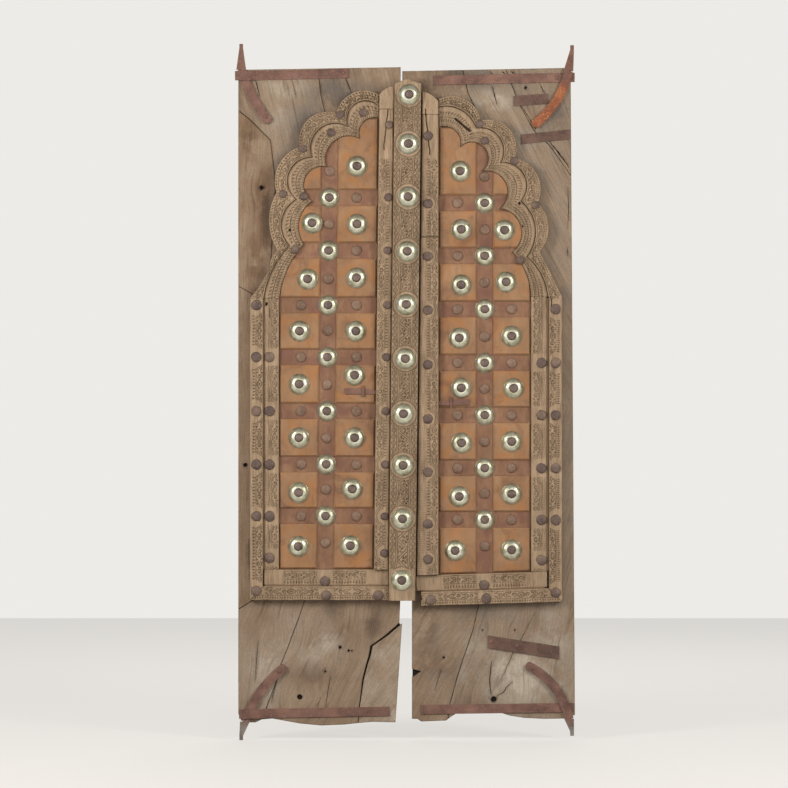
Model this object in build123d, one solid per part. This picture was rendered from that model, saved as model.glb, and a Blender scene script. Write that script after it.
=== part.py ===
from build123d import *
import os
from math import cos, pi, sin
from types import SimpleNamespace

# A pair of carved door leaves with an arched, studded field. All lengths are in millimetres.
# Drawing frame: u runs outwards from the line where the leaves meet, z runs up from the tips of the
# lower pivots, and depth runs forwards from the front face of the boards. Each leaf is drawn with u
# to the right, and the left leaf is mirrored when it is placed.

# Boards
BOARD_T = 30
LEAF_GAP = 5
LEFT_WIDTH = 488
RIGHT_WIDTH = 506
LEFT_HEIGHT = 1967
RIGHT_HEIGHT = 1955
FOOT_Z = 55
BOARD_JOINT = 1.5
BROKEN_TILT = 1.3
LEFT_TOP_SLOPE = 8
RIGHT_TOP_SLOPE = -10
RIGHT_FOOT_FLARE = 13
RIGHT_FOOT_CUTBACK = 29

# Field of battens and panels
BATTEN_PITCH = 159
BATTEN_COUNT = 7
BATTEN_H = 46
BATTEN_T = 10
PANEL_T = 16
PANEL_BEVEL = 5
LAY_GAP = 1
LEFT_FIRST_DROP = 652
RIGHT_FIRST_DROP = 669
POST_W = 47
LEFT_POST_OFF = -4
RIGHT_POST_OFF = 0

# Strips and rails round the field
LEFT_STRIP_MARGIN = 36
RIGHT_STRIP_MARGIN = 27
OUTER_STRIP_W = 39
LEFT_INNER_STRIP_W = 45
RIGHT_INNER_STRIP_W = 48
LEFT_STRIP_GAP = 3
RIGHT_STRIP_GAP = 6
LEFT_MEETING_U = 66
RIGHT_MEETING_U = 111
INNER_T = 21
OUTER_T = 31
MEETING_T = 34
STRIP_BEVEL = 4
GROOVE_D = 3
GROOVE_OFF = 7
OUTER_RAIL_GROOVE_H = 15
INNER_RAIL_GROOVE_H = 19
LEFT_RAIL_DROP = 904
RIGHT_RAIL_DROP = 929
OUTER_RAIL_H = 42
INNER_RAIL_H = 47
RIGHT_RAIL_RISE = 15
LEFT_RAIL_RISE = 0
RAIL_GAP = 3
RIGHT_RAIL_INSET = 14

# Arch
LEFT_SPRING_DROP = 697
RIGHT_SPRING_DROP = 679
ARCH_RISE = 627
ARCH_STEP_GAP = 0.6
FINIAL_H = 68
FINIAL_T = 38
LEFT_FINIAL_FALL = 26
RIGHT_FINIAL_FALL = 31
FINIAL_BOW = 6
LEFT_FINIAL_DROP = 60
RIGHT_FINIAL_DROP = 64

# Mullion, fixed on the left leaf and lapping the right one
MULLION_W = 80
MULLION_T = 55
MULLION_U = 21
MULLION_TOP_DROP = 40
MULLION_BEVEL = 9
MULLION_LAP_CLEAR = 0.5
MULLION_SIDE_CLEAR = 4
MULLION_BUTT_CLEAR = 1
MULLION_END_BOSS = 47
MULLION_FOOT_BOSS = 60
LEAN = 0.0115
RING_W = 5
RING_T = 3

# Bosses, studs and nails
BOSS_R = 30
MULLION_BOSS_R = 30
CROSS_BOSS_R = 29
BOSS_H = 12
BOSS_SIDES = 10
BOSS_NAIL_R = 13
BOSS_NAIL_H = 5
BOSS_NAIL_SIDES = 4
STUD_R = 15
LEFT_MEETING_STUD_R = 12
RIGHT_MEETING_STUD_R = 14
RIGHT_MEETING_STUD_U = 79
ARCH_STUD_R = 12
STUD_H = 6
NAIL_R = 7
NAIL_H = 2.5
HEAD_SIDES = 6
HEAD_TAPER = 0.6
STUD_EDGE = 1.5
OUTER_CORNER_STUD_H = 29
INNER_CORNER_STUD_H = 127

# Iron
STRAP_T = 4
STRAP_H = 28
BAR_T = 10
BRACE_W = 27
SPIKE_W = 29
BRACE_NOSE = 7
PIN_R = 5.5
PIN_L = 12
BRACE_NAIL_INSET = 16
TOP_SPIKE_L = 77
RIGHT_SPIKE_SHORT = 13
LEFT_PIVOT_INSET = 9
RIGHT_PIVOT_OUTSET = 4
STRAP_OVERHANG = 9
JOGGLE_L = 16
LEFT_TOP_JOGGLE = 28
LEFT_FOOT_JOGGLE = 57
IRON_CLEAR = 0.5
LATCH_T = 4
LATCH_H = 19
LATCH_L = 92
LATCH_END_H = 11
LATCH_LUG_U = 37
LATCH_LUG_W = 6
LATCH_LUG_H = 34
LEFT_LATCH_RISE = 366
RIGHT_LATCH_RISE = 344

# Lobes of the arch from the crown down, each as shares of the span, of the rise and of the rise again
# for the bulge of the lobe, up to the cusp where it ends. The crown is the share of the rise where
# each edge starts.
LEFT_CROWN = SimpleNamespace(outer=0.976, middle=0.923, inner=0.866)
LEFT_OUTER = ((0.389, 0.888, 0.057), (0.647, 0.727, 0.070), (0.813, 0.507, 0.051),
              (0.806, 0.230, 0.038), (0.855, 0.148, 0.013), (0.940, 0.053, 0))
LEFT_MIDDLE = ((0.307, 0.823, 0.072), (0.562, 0.677, 0.081), (0.675, 0.476, 0.078),
               (0.724, 0.254, 0.054))
LEFT_INNER = ((0.223, 0.768, 0.041), (0.463, 0.634, 0.070), (0.562, 0.467, 0.073),
              (0.622, 0.262, 0.043))
RIGHT_CROWN = SimpleNamespace(outer=0.945, middle=0.909, inner=0.813)
RIGHT_OUTER = ((0.420, 0.842, 0.057), (0.664, 0.665, 0.075), (0.827, 0.449, 0.059),
               (0.842, 0.215, 0.046))
RIGHT_MIDDLE = ((0.392, 0.808, 0.040), (0.565, 0.641, 0.065), (0.710, 0.459, 0.072),
                (0.753, 0.191, 0.054))
RIGHT_INNER = ((0.279, 0.720, 0.040), (0.438, 0.603, 0.081), (0.562, 0.423, 0.075),
               (0.649, 0.215, 0.072))
LEFT_ARCH_FOOT_U = 30
RIGHT_ARCH_FOOT_U = 60
FOOT_BULGE = 14

# Hand work: what each batten stands off the even pitch, in order from the lowest
LEFT_WANDER = (0, -4, -3, 0, -3, 2, 2)
RIGHT_WANDER = (0, -4, -4, -6, -4, -3, -3)

# What bosses stand off the middle of their panel as (outwards, upwards), by panel from the lowest
# inner one
LEFT_BOSS_OFF = {0: (9, 2), 2: (5, 4), 3: (0, -7), 6: (2, 27), 11: (-16, 0), 13: (-4, 5), 14: (7, -22)}
RIGHT_BOSS_OFF = {0: (-8, 0), 2: (4, -8), 4: (11, -4), 6: (10, 3), 7: (6, 2), 8: (4, -6), 10: (10, -7),
                  11: (-13, 4), 12: (10, 0), 13: (-4, 0), 14: (10, -19)}

# What the bosses on the mullion stand off its middle line and the battens, from the lowest one
MULLION_BOSS_OFF = ((1, 1), (1, -7), (1, -2), (2, -8), (-2, -5), (-3, 1), (-4, -4), (-5, 0), (-4, 0),
                    (-4, 0))

# Studs of the meeting strips: what each hangs below its batten, from the lowest, and then the two
# beyond the battens, as heights from the lowest and from the highest batten
LEFT_STUD_DROP = (0, 0, 0, 0, 0, 0, 0)
RIGHT_STUD_DROP = (12, 11, 11, 6, 3, 2, 3)
LEFT_END_STUDS = (-110, 217)
RIGHT_END_STUDS = (-118, 200)

# Seams and cracks as (inset from the leaf's outer edge, height). A negative height is taken down
# from the top edge, and a positive one up from the foot.
LEFT_SEAM = ((239, -1), (249, -84), (261, -136), (201, 366), (186, 321), (150, 223), (129, 172),
             (111, 109), (84, 37), (74, 0))
RIGHT_SEAM = ((324, -1), (309, -66), (288, -113), (278, 348), (294, 276), (309, 231), (327, 180),
              (345, 121), (363, 54), (370, 0))
STILE_SEAM_HIGH = ((0, -131), (36, -160), (96, -220), (108, -316), (111, -370))
STILE_SEAM_MID = ((0, -658), (51, -685), (90, -711))
STILE_SEAM_LOW = ((45, 366), (0, 338))
CORNER_SEAM = ((192, -1), (150, -106), (108, -180), (63, -222), (0, -312))
BROKEN_SEAM = ((500, 308), (483, 296), (442, 260), (397, 227), (392, 199), (384, 172), (373, 127),
               (362, 37), (360, 0))
FOOT_WEAR_LEFT = ((0, 22), (15, -2), (51, -3), (70, 6), (102, 9), (186, -6), (250, -12), (321, -9),
                  (402, 0), (471, 0))
FOOT_WEAR_RIGHT = ((0, 20), (24, 9), (93, 8), (153, 11), (198, 18), (228, 28), (357, 24), (372, 15),
                   (387, 3), (462, 0), (474, 8))

# Notch torn from the right leaf's cut back edge, as (depth into the board, height above the foot)
FOOT_NOTCH = ((0, 132), (27, 151), (0, 158))

# Head of the mullion, as (share of its width from the outer side, drop from its top)
MULLION_HEAD = ((0, 14), (0.28, 4), (0.5, 0), (0.66, 4), (1, 13))

# Braces of the pivot bars as (start, end, bow), with each point's inset from the pivot line and its
# height from the leaf's end
LEFT_TOP_BRACE = ((0, 0), (81, -154), 8)
RIGHT_TOP_BRACE = ((11, 0), (112, -160), 17)
LEFT_FOOT_BRACE = ((11, 0), (129, 162), -15)
RIGHT_FOOT_BRACE = ((9, 8), (133, 168), -24)

# Straps as (outer end's inset, height of its lower edge, inner end's inset, rise along it)
LEFT_TOP_STRAP = (-9, -41, 332, 8)
RIGHT_TOP_STRAP = (-12, -33, 411, -9)
LEFT_FOOT_STRAP = (3, 9, 456, 8)
RIGHT_FOOT_STRAP = (-9, 28, 450, -6)
REPAIR_STRAPS = (("upper", (69, -83), (171, -90), 31), ("middle", (1, -190), (148, -205), 29),
                 ("lower", (34, 207), (249, 240), 38))

# Nails of the straps, given as the seams are
LEFT_STRAP_NAILS = ((315, -18),)
RIGHT_STRAP_NAILS = ((216, -25), (42, -20), (162, 228), (240, 240))

# Studs on the arch as (share of the span, share of the rise, on the outer arch or not), and on the
# rails as (distance from the leaf's meeting line, share of the rail's height, outer rail or not)
LEFT_ARCH_STUDS = ((0.625, 0.718, True), (0.427, 0.796, False), (0.201, 0.890, False),
                   (0.767, 0.502, True), (0.622, 0.490, False), (0.682, 0.235, False),
                   (0.364, 0.880, True))
RIGHT_ARCH_STUDS = ((0.413, 0.826, True), (0.452, 0.748, False), (0.661, 0.649, True),
                    (0.809, 0.439, True), (0.703, 0.176, False))
LEFT_RAIL_STUDS = ((229, 0.25, False), (226, 0.35, True), (70, 0.35, True))
RIGHT_RAIL_STUDS = ((248, 0.25, False), (88, 0.42, True), (254, 0.42, True))


def leaf_sizes(side, **sizes):
    """Sizes of one leaf, with the strips' edges worked out from its outer edge inwards."""
    leaf = SimpleNamespace(side=side, **sizes)
    leaf.edge = LEAF_GAP / 2 + leaf.width
    leaf.top = FOOT_Z + leaf.height
    leaf.strip_outer = leaf.edge - leaf.margin
    leaf.strip_inner = leaf.strip_outer - OUTER_STRIP_W
    leaf.inner_outer = leaf.strip_inner - leaf.strip_gap
    leaf.field_side = leaf.inner_outer - leaf.inner_w
    leaf.post_u = (leaf.meeting_u + leaf.field_side) / 2 + leaf.post_off
    leaf.spring = leaf.top - leaf.spring_drop
    leaf.rail_z = leaf.spring - leaf.rail_drop
    leaf.first = leaf.spring - leaf.first_drop
    leaf.finial_z = leaf.top - leaf.finial_drop
    leaf.pivot = leaf.edge + leaf.pivot_outset
    return leaf


LEFT = leaf_sizes(
    -1, name="left", width=LEFT_WIDTH, height=LEFT_HEIGHT, slope=LEFT_TOP_SLOPE, flare=0, cutback=0,
    margin=LEFT_STRIP_MARGIN, strip_gap=LEFT_STRIP_GAP, inner_w=LEFT_INNER_STRIP_W,
    meeting_u=LEFT_MEETING_U, post_off=LEFT_POST_OFF, rail_drop=LEFT_RAIL_DROP,
    rail_rise=LEFT_RAIL_RISE, rail_inset=0, spring_drop=LEFT_SPRING_DROP, arch_foot=LEFT_ARCH_FOOT_U,
    crown=LEFT_CROWN, outer=LEFT_OUTER, middle=LEFT_MIDDLE, inner=LEFT_INNER,
    first_drop=LEFT_FIRST_DROP, wander=LEFT_WANDER, finial_drop=LEFT_FINIAL_DROP,
    finial_fall=LEFT_FINIAL_FALL, wear=FOOT_WEAR_LEFT, stud_drop=LEFT_STUD_DROP, end_studs=LEFT_END_STUDS,
    boss_off=LEFT_BOSS_OFF, arch_studs=LEFT_ARCH_STUDS, rail_studs=LEFT_RAIL_STUDS,
    latch_rise=LEFT_LATCH_RISE, pivot_outset=-LEFT_PIVOT_INSET)
RIGHT = leaf_sizes(
    1, name="right", width=RIGHT_WIDTH, height=RIGHT_HEIGHT, slope=RIGHT_TOP_SLOPE,
    flare=RIGHT_FOOT_FLARE, cutback=RIGHT_FOOT_CUTBACK, margin=RIGHT_STRIP_MARGIN,
    strip_gap=RIGHT_STRIP_GAP, inner_w=RIGHT_INNER_STRIP_W, meeting_u=RIGHT_MEETING_U,
    post_off=RIGHT_POST_OFF, rail_drop=RIGHT_RAIL_DROP, rail_rise=RIGHT_RAIL_RISE,
    rail_inset=RIGHT_RAIL_INSET, spring_drop=RIGHT_SPRING_DROP, arch_foot=RIGHT_ARCH_FOOT_U,
    crown=RIGHT_CROWN, outer=RIGHT_OUTER, middle=RIGHT_MIDDLE, inner=RIGHT_INNER,
    first_drop=RIGHT_FIRST_DROP, wander=RIGHT_WANDER, finial_drop=RIGHT_FINIAL_DROP,
    finial_fall=RIGHT_FINIAL_FALL, wear=FOOT_WEAR_RIGHT, stud_drop=RIGHT_STUD_DROP,
    end_studs=RIGHT_END_STUDS, boss_off=RIGHT_BOSS_OFF, arch_studs=RIGHT_ARCH_STUDS,
    rail_studs=RIGHT_RAIL_STUDS, latch_rise=RIGHT_LATCH_RISE, pivot_outset=RIGHT_PIVOT_OUTSET)

MULLION_TOP = LEFT.top - MULLION_TOP_DROP

# Top of the rails, above the lower edge of the outer one
FIELD_SILL = OUTER_RAIL_H + RAIL_GAP + INNER_RAIL_H

# The finished part stands with its box centred over the origin
FRONT = MULLION_T + BOSS_H + BOSS_NAIL_H
SHIFT = Location(((LEFT.edge + STRAP_OVERHANG - RIGHT.edge - RIGHT.flare) / 2, (FRONT - BOARD_T) / 2, 0))


# Drawing helpers

def slab(face, back, front):
    """Solid between two depths over a face drawn in u and z."""
    return extrude(Plane.XZ.offset(back) * face, front - back, dir=(0, -1, 0))


def outline(points):
    """Face inside a closed run of straight edges."""
    return make_face(Polyline(*points, close=True))


def beveled(face, back, front, bevel):
    """Slab with its front edges planed off."""
    solid = slab(face, back, front)
    return chamfer(solid.edges().filter_by_position(Axis.Y, -front - 0.01, -front + 0.01), bevel)


def hammered(radius, height, sides):
    """Low head with flat facets, standing on the front face of the boards at the origin."""
    turns = [2 * pi * corner / sides for corner in range(sides)]
    foot = [Vector(radius * cos(turn), 0, radius * sin(turn)) for turn in turns]
    crown = [Vector(corner.X * HEAD_TAPER, -height, corner.Z * HEAD_TAPER) for corner in foot]
    facets = zip(foot, foot[1:] + foot[:1], crown[1:] + crown[:1], crown)
    faces = [Face(Wire.make_polygon(corners)) for corners in (foot, crown, *facets)]
    return Solid(Shell(faces))


def heads(places, radius, height, sides=HEAD_SIDES):
    """Group of equal heads, one at each (u, z, depth)."""
    head = hammered(radius, height, sides)
    return Compound([head.moved(Location((u, -depth, z))) for u, z, depth in places])


def export(leaf, name, shape):
    """Write a node, with the left leaf's pieces mirrored to their own side."""
    placed = mirror(shape, about=Plane.YZ) if leaf.side < 0 else shape
    export_step(SHIFT * placed, f"parts/{name}.step")


# Places that several pieces share

def lean(z):
    """Sideways drift of the mullion, below its top."""
    return LEAN * (MULLION_TOP - z)


def mullion_side(leaf, z):
    """Face of the mullion on the leaf's side of the meeting line."""
    return MULLION_U + lean(z) if leaf.side < 0 else MULLION_W - MULLION_U - lean(z)


def strip_start(leaf, z):
    """Where the leaf's own carving starts beside the mullion."""
    return mullion_side(leaf, z) + (MULLION_BUTT_CLEAR if leaf.side < 0 else MULLION_SIDE_CLEAR)


def drift(leaf, z):
    """Lean of the field's inner side, which only the left leaf has."""
    return lean(z) if leaf.side < 0 else 0


def meeting_u(leaf, z):
    """Side of the meeting strip towards the field."""
    return leaf.meeting_u + drift(leaf, z)


def post_u(leaf, z):
    """Middle of the upright batten."""
    return leaf.post_u + drift(leaf, z)


def rail_z(leaf, u, height=0):
    """Height on the rails, above the lower edge of the outer one."""
    return leaf.rail_z + leaf.rail_rise * u / leaf.edge + height


def level(leaf, row):
    """Middle of one cross batten."""
    return leaf.first + row * BATTEN_PITCH + leaf.wander[row % len(leaf.wander)]


def on_edge(leaf, inset, height):
    """Point given from the leaf's outer edge and from its top (below 0) or its foot."""
    return (leaf.edge - inset, leaf.top + height if height < 0 else FOOT_Z + height)


def arch_point(leaf, across, up):
    """Point given as shares of the arch's span and rise."""
    span = leaf.strip_outer - leaf.arch_foot
    return (leaf.arch_foot + across * span, leaf.spring + up * ARCH_RISE)


# Boards

def leaf_face(leaf):
    """Outline of the whole leaf, with its worn foot."""
    meet = LEAF_GAP / 2
    foot_edge = leaf.edge + leaf.flare
    foot = [(foot_edge - inset, FOOT_Z + height) for inset, height in leaf.wear]
    step = rail_z(leaf, 0, OUTER_RAIL_H / 2)
    cut = meet + leaf.cutback
    notch = [(cut + into, FOOT_Z + height) for into, height in FOOT_NOTCH]
    inner = [(cut, foot[-1][1]), *notch, (cut, step), (meet, step)]
    corners = [(meet, leaf.top), (leaf.edge, leaf.top - leaf.slope)]
    return outline(corners + foot + (inner if leaf.cutback else inner[-1:]))


def board_line(leaf, seam):
    """A seam's points on the leaf."""
    return [on_edge(leaf, *point) for point in seam]


def inboard(leaf, seam):
    """Everything on the meeting side of a seam that runs from top to foot."""
    line = board_line(leaf, seam)
    above = (line[0][0], leaf.top + BOARD_T)
    below = (line[-1][0], 0)
    return outline([above] + line + [below, (-BOARD_T, 0), (-BOARD_T, above[1])])


def grown(face, amount):
    """Straight-edged face made larger all round, with its corners kept sharp."""
    return offset(face, amount, kind=Kind.INTERSECTION)


def shrunk(face, amount):
    """Face made smaller all round."""
    return offset(face, -amount)


def board(face):
    """Board cut to a face."""
    return slab(face, -BOARD_T, 0)


def make_left_boards():
    """Two planks, two pieces let into the outer edge, and the corner that has broken away."""
    whole = leaf_face(LEFT)
    high, mid, low = (board_line(LEFT, seam) for seam in (STILE_SEAM_HIGH, STILE_SEAM_MID, STILE_SEAM_LOW))
    upper = outline(high + mid[::-1])
    lower = outline(mid + low)
    inner = inboard(LEFT, LEFT_SEAM)
    crack = board_line(LEFT, BROKEN_SEAM)
    corner = outline(crack + [(crack[-1][0], 0), (-BOARD_T, 0), (-BOARD_T, crack[0][1])])
    export(LEFT, "left_upper_stile_board", board(upper))
    export(LEFT, "left_lower_stile_board", board(lower - grown(upper, BOARD_JOINT)))
    patches = grown(upper + lower, BOARD_JOINT)
    export(LEFT, "left_outer_board", board(whole - grown(inner, BOARD_JOINT) - patches))
    export(LEFT, "left_inner_board", board((whole & inner) - corner))
    foot = Location(crack[-1])
    leaning = Location((-BOARD_JOINT, 0)) * foot * Rot(0, 0, BROKEN_TILT) * foot.inverse()
    export(LEFT, "left_broken_corner", board(leaning * (whole & corner)))


def make_right_boards():
    """Two planks and the upper corner, which has split off along a diagonal crack."""
    whole = leaf_face(RIGHT)
    inner = inboard(RIGHT, RIGHT_SEAM)
    crack = board_line(RIGHT, CORNER_SEAM)
    far = RIGHT.edge + BOARD_T
    above = RIGHT.top + BOARD_T
    corner = outline([(crack[0][0], above)] + crack + [(far, crack[-1][1]), (far, above)])
    export(RIGHT, "right_inner_board", board(whole & inner))
    export(RIGHT, "right_corner_board", board(whole & corner))
    rest = whole - grown(inner, BOARD_JOINT) - grown(corner, BOARD_JOINT)
    export(RIGHT, "right_outer_board", board(rest))


# Arch, strips and rails

def arch_line(leaf, crown, lobes, foot_u, foot_bulge):
    """Lobed edge from the crown down to the springing, as a list of edges."""
    top = leaf.spring + crown * ARCH_RISE
    start = (meeting_u(leaf, top) + LAY_GAP, top)
    ends = [(arch_point(leaf, across, up), bulge * ARCH_RISE) for across, up, bulge in lobes]
    ends.append(((foot_u, leaf.spring), foot_bulge))
    edges = []
    for end, bulge in ends:
        edges.append(SagittaArc(start, end, bulge) if bulge else Line(start, end))
        start = end
    return edges


def under_arch(edges, leaf, corners):
    """Face below a lobed edge, closed through the given corners and up the meeting side."""
    return make_face(edges + [Polyline(edges[-1] @ 1, *corners, edges[0] @ 0)])


def arch_faces(leaf):
    """Faces under the outer, middle and inner edges of the arch, down to the springing."""
    corner = (meeting_u(leaf, leaf.spring) + LAY_GAP, leaf.spring)
    middle_foot = leaf.inner_outer + leaf.strip_gap / 2
    outer = arch_line(leaf, leaf.crown.outer, leaf.outer, leaf.strip_outer, 0)
    middle = arch_line(leaf, leaf.crown.middle, leaf.middle, middle_foot, FOOT_BULGE)
    inner = arch_line(leaf, leaf.crown.inner, leaf.inner, leaf.field_side, FOOT_BULGE)
    return [under_arch(line, leaf, [corner]) for line in (outer, middle, inner)]


def field_face(leaf):
    """Face that the battens and panels fill."""
    line = arch_line(leaf, leaf.crown.inner, leaf.inner, leaf.field_side, FOOT_BULGE)
    outer_foot = (leaf.field_side, rail_z(leaf, leaf.field_side, FIELD_SILL))
    inner_u = meeting_u(leaf, outer_foot[1])
    inner_foot = (inner_u, rail_z(leaf, inner_u, FIELD_SILL))
    return shrunk(under_arch(line, leaf, [outer_foot, inner_foot]), LAY_GAP)


def make_arches(leaf):
    """The two lobed mouldings, the outer one standing prouder."""
    outer, middle, inner = arch_faces(leaf)
    export(leaf, f"{leaf.name}_outer_arch", slab(outer - middle, 0, OUTER_T))
    export(leaf, f"{leaf.name}_inner_arch", slab(shrunk(middle, ARCH_STEP_GAP) - inner, 0, INNER_T))


def make_finial(leaf):
    """Carved leaf that springs from the mullion and falls to the end of the arch."""
    foot = leaf.finial_z - FINIAL_H
    fallen = leaf.finial_z - leaf.finial_fall
    tip, shoulder = (strip_start(leaf, leaf.finial_z), leaf.finial_z), (meeting_u(leaf, fallen), fallen)
    sides = Polyline(shoulder, (meeting_u(leaf, foot), foot), (strip_start(leaf, foot), foot), tip)
    face = make_face([SagittaArc(tip, shoulder, FINIAL_BOW), sides])
    export(leaf, f"{leaf.name}_finial", slab(face, 0, FINIAL_T))


def grooved(face, front, groove):
    """Beveled strip with a V groove along its front, given as the two ends of its line."""
    (u0, z0), (u1, z1) = groove
    run = Vector(u1 - u0, 0, z1 - z0)
    across = run.normalized().cross(Vector(0, 1, 0)) * GROOVE_D
    start = Vector(u0, -front, z0) - run
    corners = [start + across, start - across, start + Vector(0, GROOVE_D, 0)]
    blade = extrude(make_face(Polyline(*corners, close=True)), run.length * 3, dir=run.normalized())
    return beveled(face, 0, front, STRIP_BEVEL) - blade


def make_strips(leaf):
    """Uprights and rails round the field: the outer pair mitred, the inner pair butted."""
    name = leaf.name
    outer, edge, inner, field = leaf.strip_outer, leaf.strip_inner, leaf.inner_outer, leaf.field_side
    sill = OUTER_RAIL_H + RAIL_GAP
    tread = sill + INNER_RAIL_H
    start = strip_start(leaf, leaf.rail_z)
    outer_start = start + leaf.rail_inset
    mid = (outer + edge) / 2 - GROOVE_OFF
    half = (inner + field) / 2 + GROOVE_OFF
    uprights = outline([(outer, leaf.spring), (edge, leaf.spring), (edge, rail_z(leaf, edge, OUTER_RAIL_H)),
                        (outer, rail_z(leaf, outer))])
    inner_upright = outline([(inner, leaf.spring), (field, leaf.spring),
                             (field, rail_z(leaf, field, tread)), (inner, rail_z(leaf, inner, tread))])
    outer_rail = outline([(outer_start, rail_z(leaf, outer_start)), (outer, rail_z(leaf, outer)),
                          (edge, rail_z(leaf, edge, OUTER_RAIL_H)),
                          (outer_start, rail_z(leaf, outer_start, OUTER_RAIL_H))])
    inner_rail = outline([(start, rail_z(leaf, start, sill)), (inner, rail_z(leaf, inner, sill)),
                          (inner, rail_z(leaf, inner, tread)), (start, rail_z(leaf, start, tread))])
    outer_line = [(mid, leaf.rail_z), (mid, leaf.spring)]
    inner_line = [(half, leaf.rail_z), (half, leaf.spring)]
    low_line = [(u, rail_z(leaf, u, OUTER_RAIL_GROOVE_H)) for u in (0, leaf.edge)]
    high_line = [(u, rail_z(leaf, u, sill + INNER_RAIL_GROOVE_H)) for u in (0, leaf.edge)]
    export(leaf, f"{name}_outer_stile_strip", grooved(uprights, OUTER_T, outer_line))
    export(leaf, f"{name}_inner_stile_strip", grooved(inner_upright, INNER_T, inner_line))
    export(leaf, f"{name}_outer_rail", grooved(outer_rail, OUTER_T, low_line))
    export(leaf, f"{name}_inner_rail", grooved(inner_rail, INNER_T, high_line))
    top = leaf.finial_z - FINIAL_H - LAY_GAP
    inner_foot = strip_start(leaf, leaf.rail_z + tread)
    field_foot = meeting_u(leaf, leaf.rail_z + tread)
    meeting = outline([(strip_start(leaf, top), top), (meeting_u(leaf, top), top),
                       (field_foot, rail_z(leaf, field_foot, tread)),
                       (inner_foot, rail_z(leaf, inner_foot, tread))])
    middle = [((strip_start(leaf, z) + meeting_u(leaf, z)) / 2, z) for z in (leaf.rail_z, top)]
    export(leaf, f"{name}_meeting_strip", grooved(meeting, MEETING_T, middle))


# Field of battens and panels

def batten_face(leaf, row):
    """Straight band of one cross batten, longer than the field is wide."""
    return Location((leaf.edge / 2, level(leaf, row))) * Rectangle(leaf.edge * 2, BATTEN_H)


def post_face(leaf):
    """Leaning band of the upright batten, longer than the field is high."""
    low, high = leaf.rail_z, leaf.top
    return outline([(post_u(leaf, z) + across, z) for z, across in (
        (low, -POST_W / 2), (high, -POST_W / 2), (high, POST_W / 2), (low, POST_W / 2))])


def make_battens(leaf, field):
    """Cross battens half lapped over the upright one."""
    lap = BATTEN_T / 2
    crossing = Sketch() + [batten_face(leaf, row) for row in range(BATTEN_COUNT)]
    post = field & post_face(leaf)
    upright = slab(post, 0, BATTEN_T) - slab(grown(crossing, LAY_GAP / 2), lap, BATTEN_T)
    under = slab(grown(post_face(leaf), LAY_GAP / 2), 0, lap)
    cross = [slab(field & batten_face(leaf, row), 0, BATTEN_T) - under for row in range(BATTEN_COUNT)]
    export(leaf, f"{leaf.name}_upright_batten", upright)
    solids = [solid for part in cross for solid in part.solids()]
    export(leaf, f"{leaf.name}_cross_battens", Compound(solids))


def panel_cells(leaf):
    """Four-sided cells between the battens, from the lowest row up, the inner cell of a row first."""
    cells = []
    half = POST_W / 2
    crown = leaf.spring + leaf.crown.inner * ARCH_RISE
    for row in range(BATTEN_COUNT + 1):
        high = level(leaf, row) - BATTEN_H / 2 if row < BATTEN_COUNT else crown
        for inner, outer in ((meeting_u, post_u), (post_u, None)):
            corners = []
            for z, side in ((None, 0), (None, 1), (high, 1), (high, 0)):
                foot = level(leaf, row - 1) + BATTEN_H / 2 if row else leaf.rail_z + FIELD_SILL
                at = foot if z is None else z
                if side == 0:
                    u = inner(leaf, at) + (half if inner is post_u else LAY_GAP)
                else:
                    u = outer(leaf, at) - half if outer else leaf.field_side - LAY_GAP
                if z is None and row == 0:
                    at = rail_z(leaf, u, FIELD_SILL) + LAY_GAP
                corners.append((u, at))
            cells.append(shrunk(outline(corners), LAY_GAP / 2))
    return cells


def make_panels(leaf, field):
    """Raised panels with planed edges, cut to the arch where they reach it. Returns their faces."""
    cells = panel_cells(leaf)
    clip = slab(shrunk(field, LAY_GAP / 2), 0, PANEL_T)
    solids = []
    for cell in cells:
        panel = beveled(cell, 0, PANEL_T, PANEL_BEVEL)
        solids.append((panel & clip).solid() if cell.bounding_box().max.Y > leaf.spring else panel.solid())
    export(leaf, f"{leaf.name}_field_panels", Compound(solids))
    return [(cell & field).face() for cell in cells]


# Mullion

def mullion_middle(z):
    """Middle line of the mullion."""
    return mullion_side(LEFT, z) - MULLION_W / 2


def mullion_boss_places():
    """Middles of the bosses on the mullion: one at each batten, and on past both ends."""
    rows = [level(LEFT, row) for row in range(BATTEN_COUNT)]
    ends = [rows[-1] + BATTEN_PITCH, MULLION_TOP - MULLION_END_BOSS]
    levels = [LEFT.rail_z + MULLION_FOOT_BOSS] + rows + ends
    return [(mullion_middle(z) + aside, z + up) for z, (aside, up) in zip(levels, MULLION_BOSS_OFF)]


def make_mullion():
    """Leaning post with a pointed head, a ring round each boss, and its back eased where it laps the
    right leaf."""
    top, foot = MULLION_TOP, LEFT.rail_z
    head = [(mullion_side(LEFT, top) - MULLION_W * share, top - drop) for share, drop in MULLION_HEAD]
    side = mullion_side(LEFT, foot)
    face = outline(head + [(side - MULLION_W, foot), (side, foot)])
    body = beveled(face, 0, MULLION_T - RING_T, MULLION_BEVEL)
    ring = slab(RegularPolygon(MULLION_BOSS_R + RING_W, BOSS_SIDES), MULLION_T - RING_T, MULLION_T)
    body += [Location((u, 0, z)) * ring for u, z in mullion_boss_places()]
    ease = outline([(LEAF_GAP / 2, 0), (LEAF_GAP / 2, top), (-MULLION_W, top), (-MULLION_W, 0)])
    export(LEFT, "mullion", body - slab(ease, 0, MULLION_LAP_CLEAR))


# Bosses, studs and nails

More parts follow.
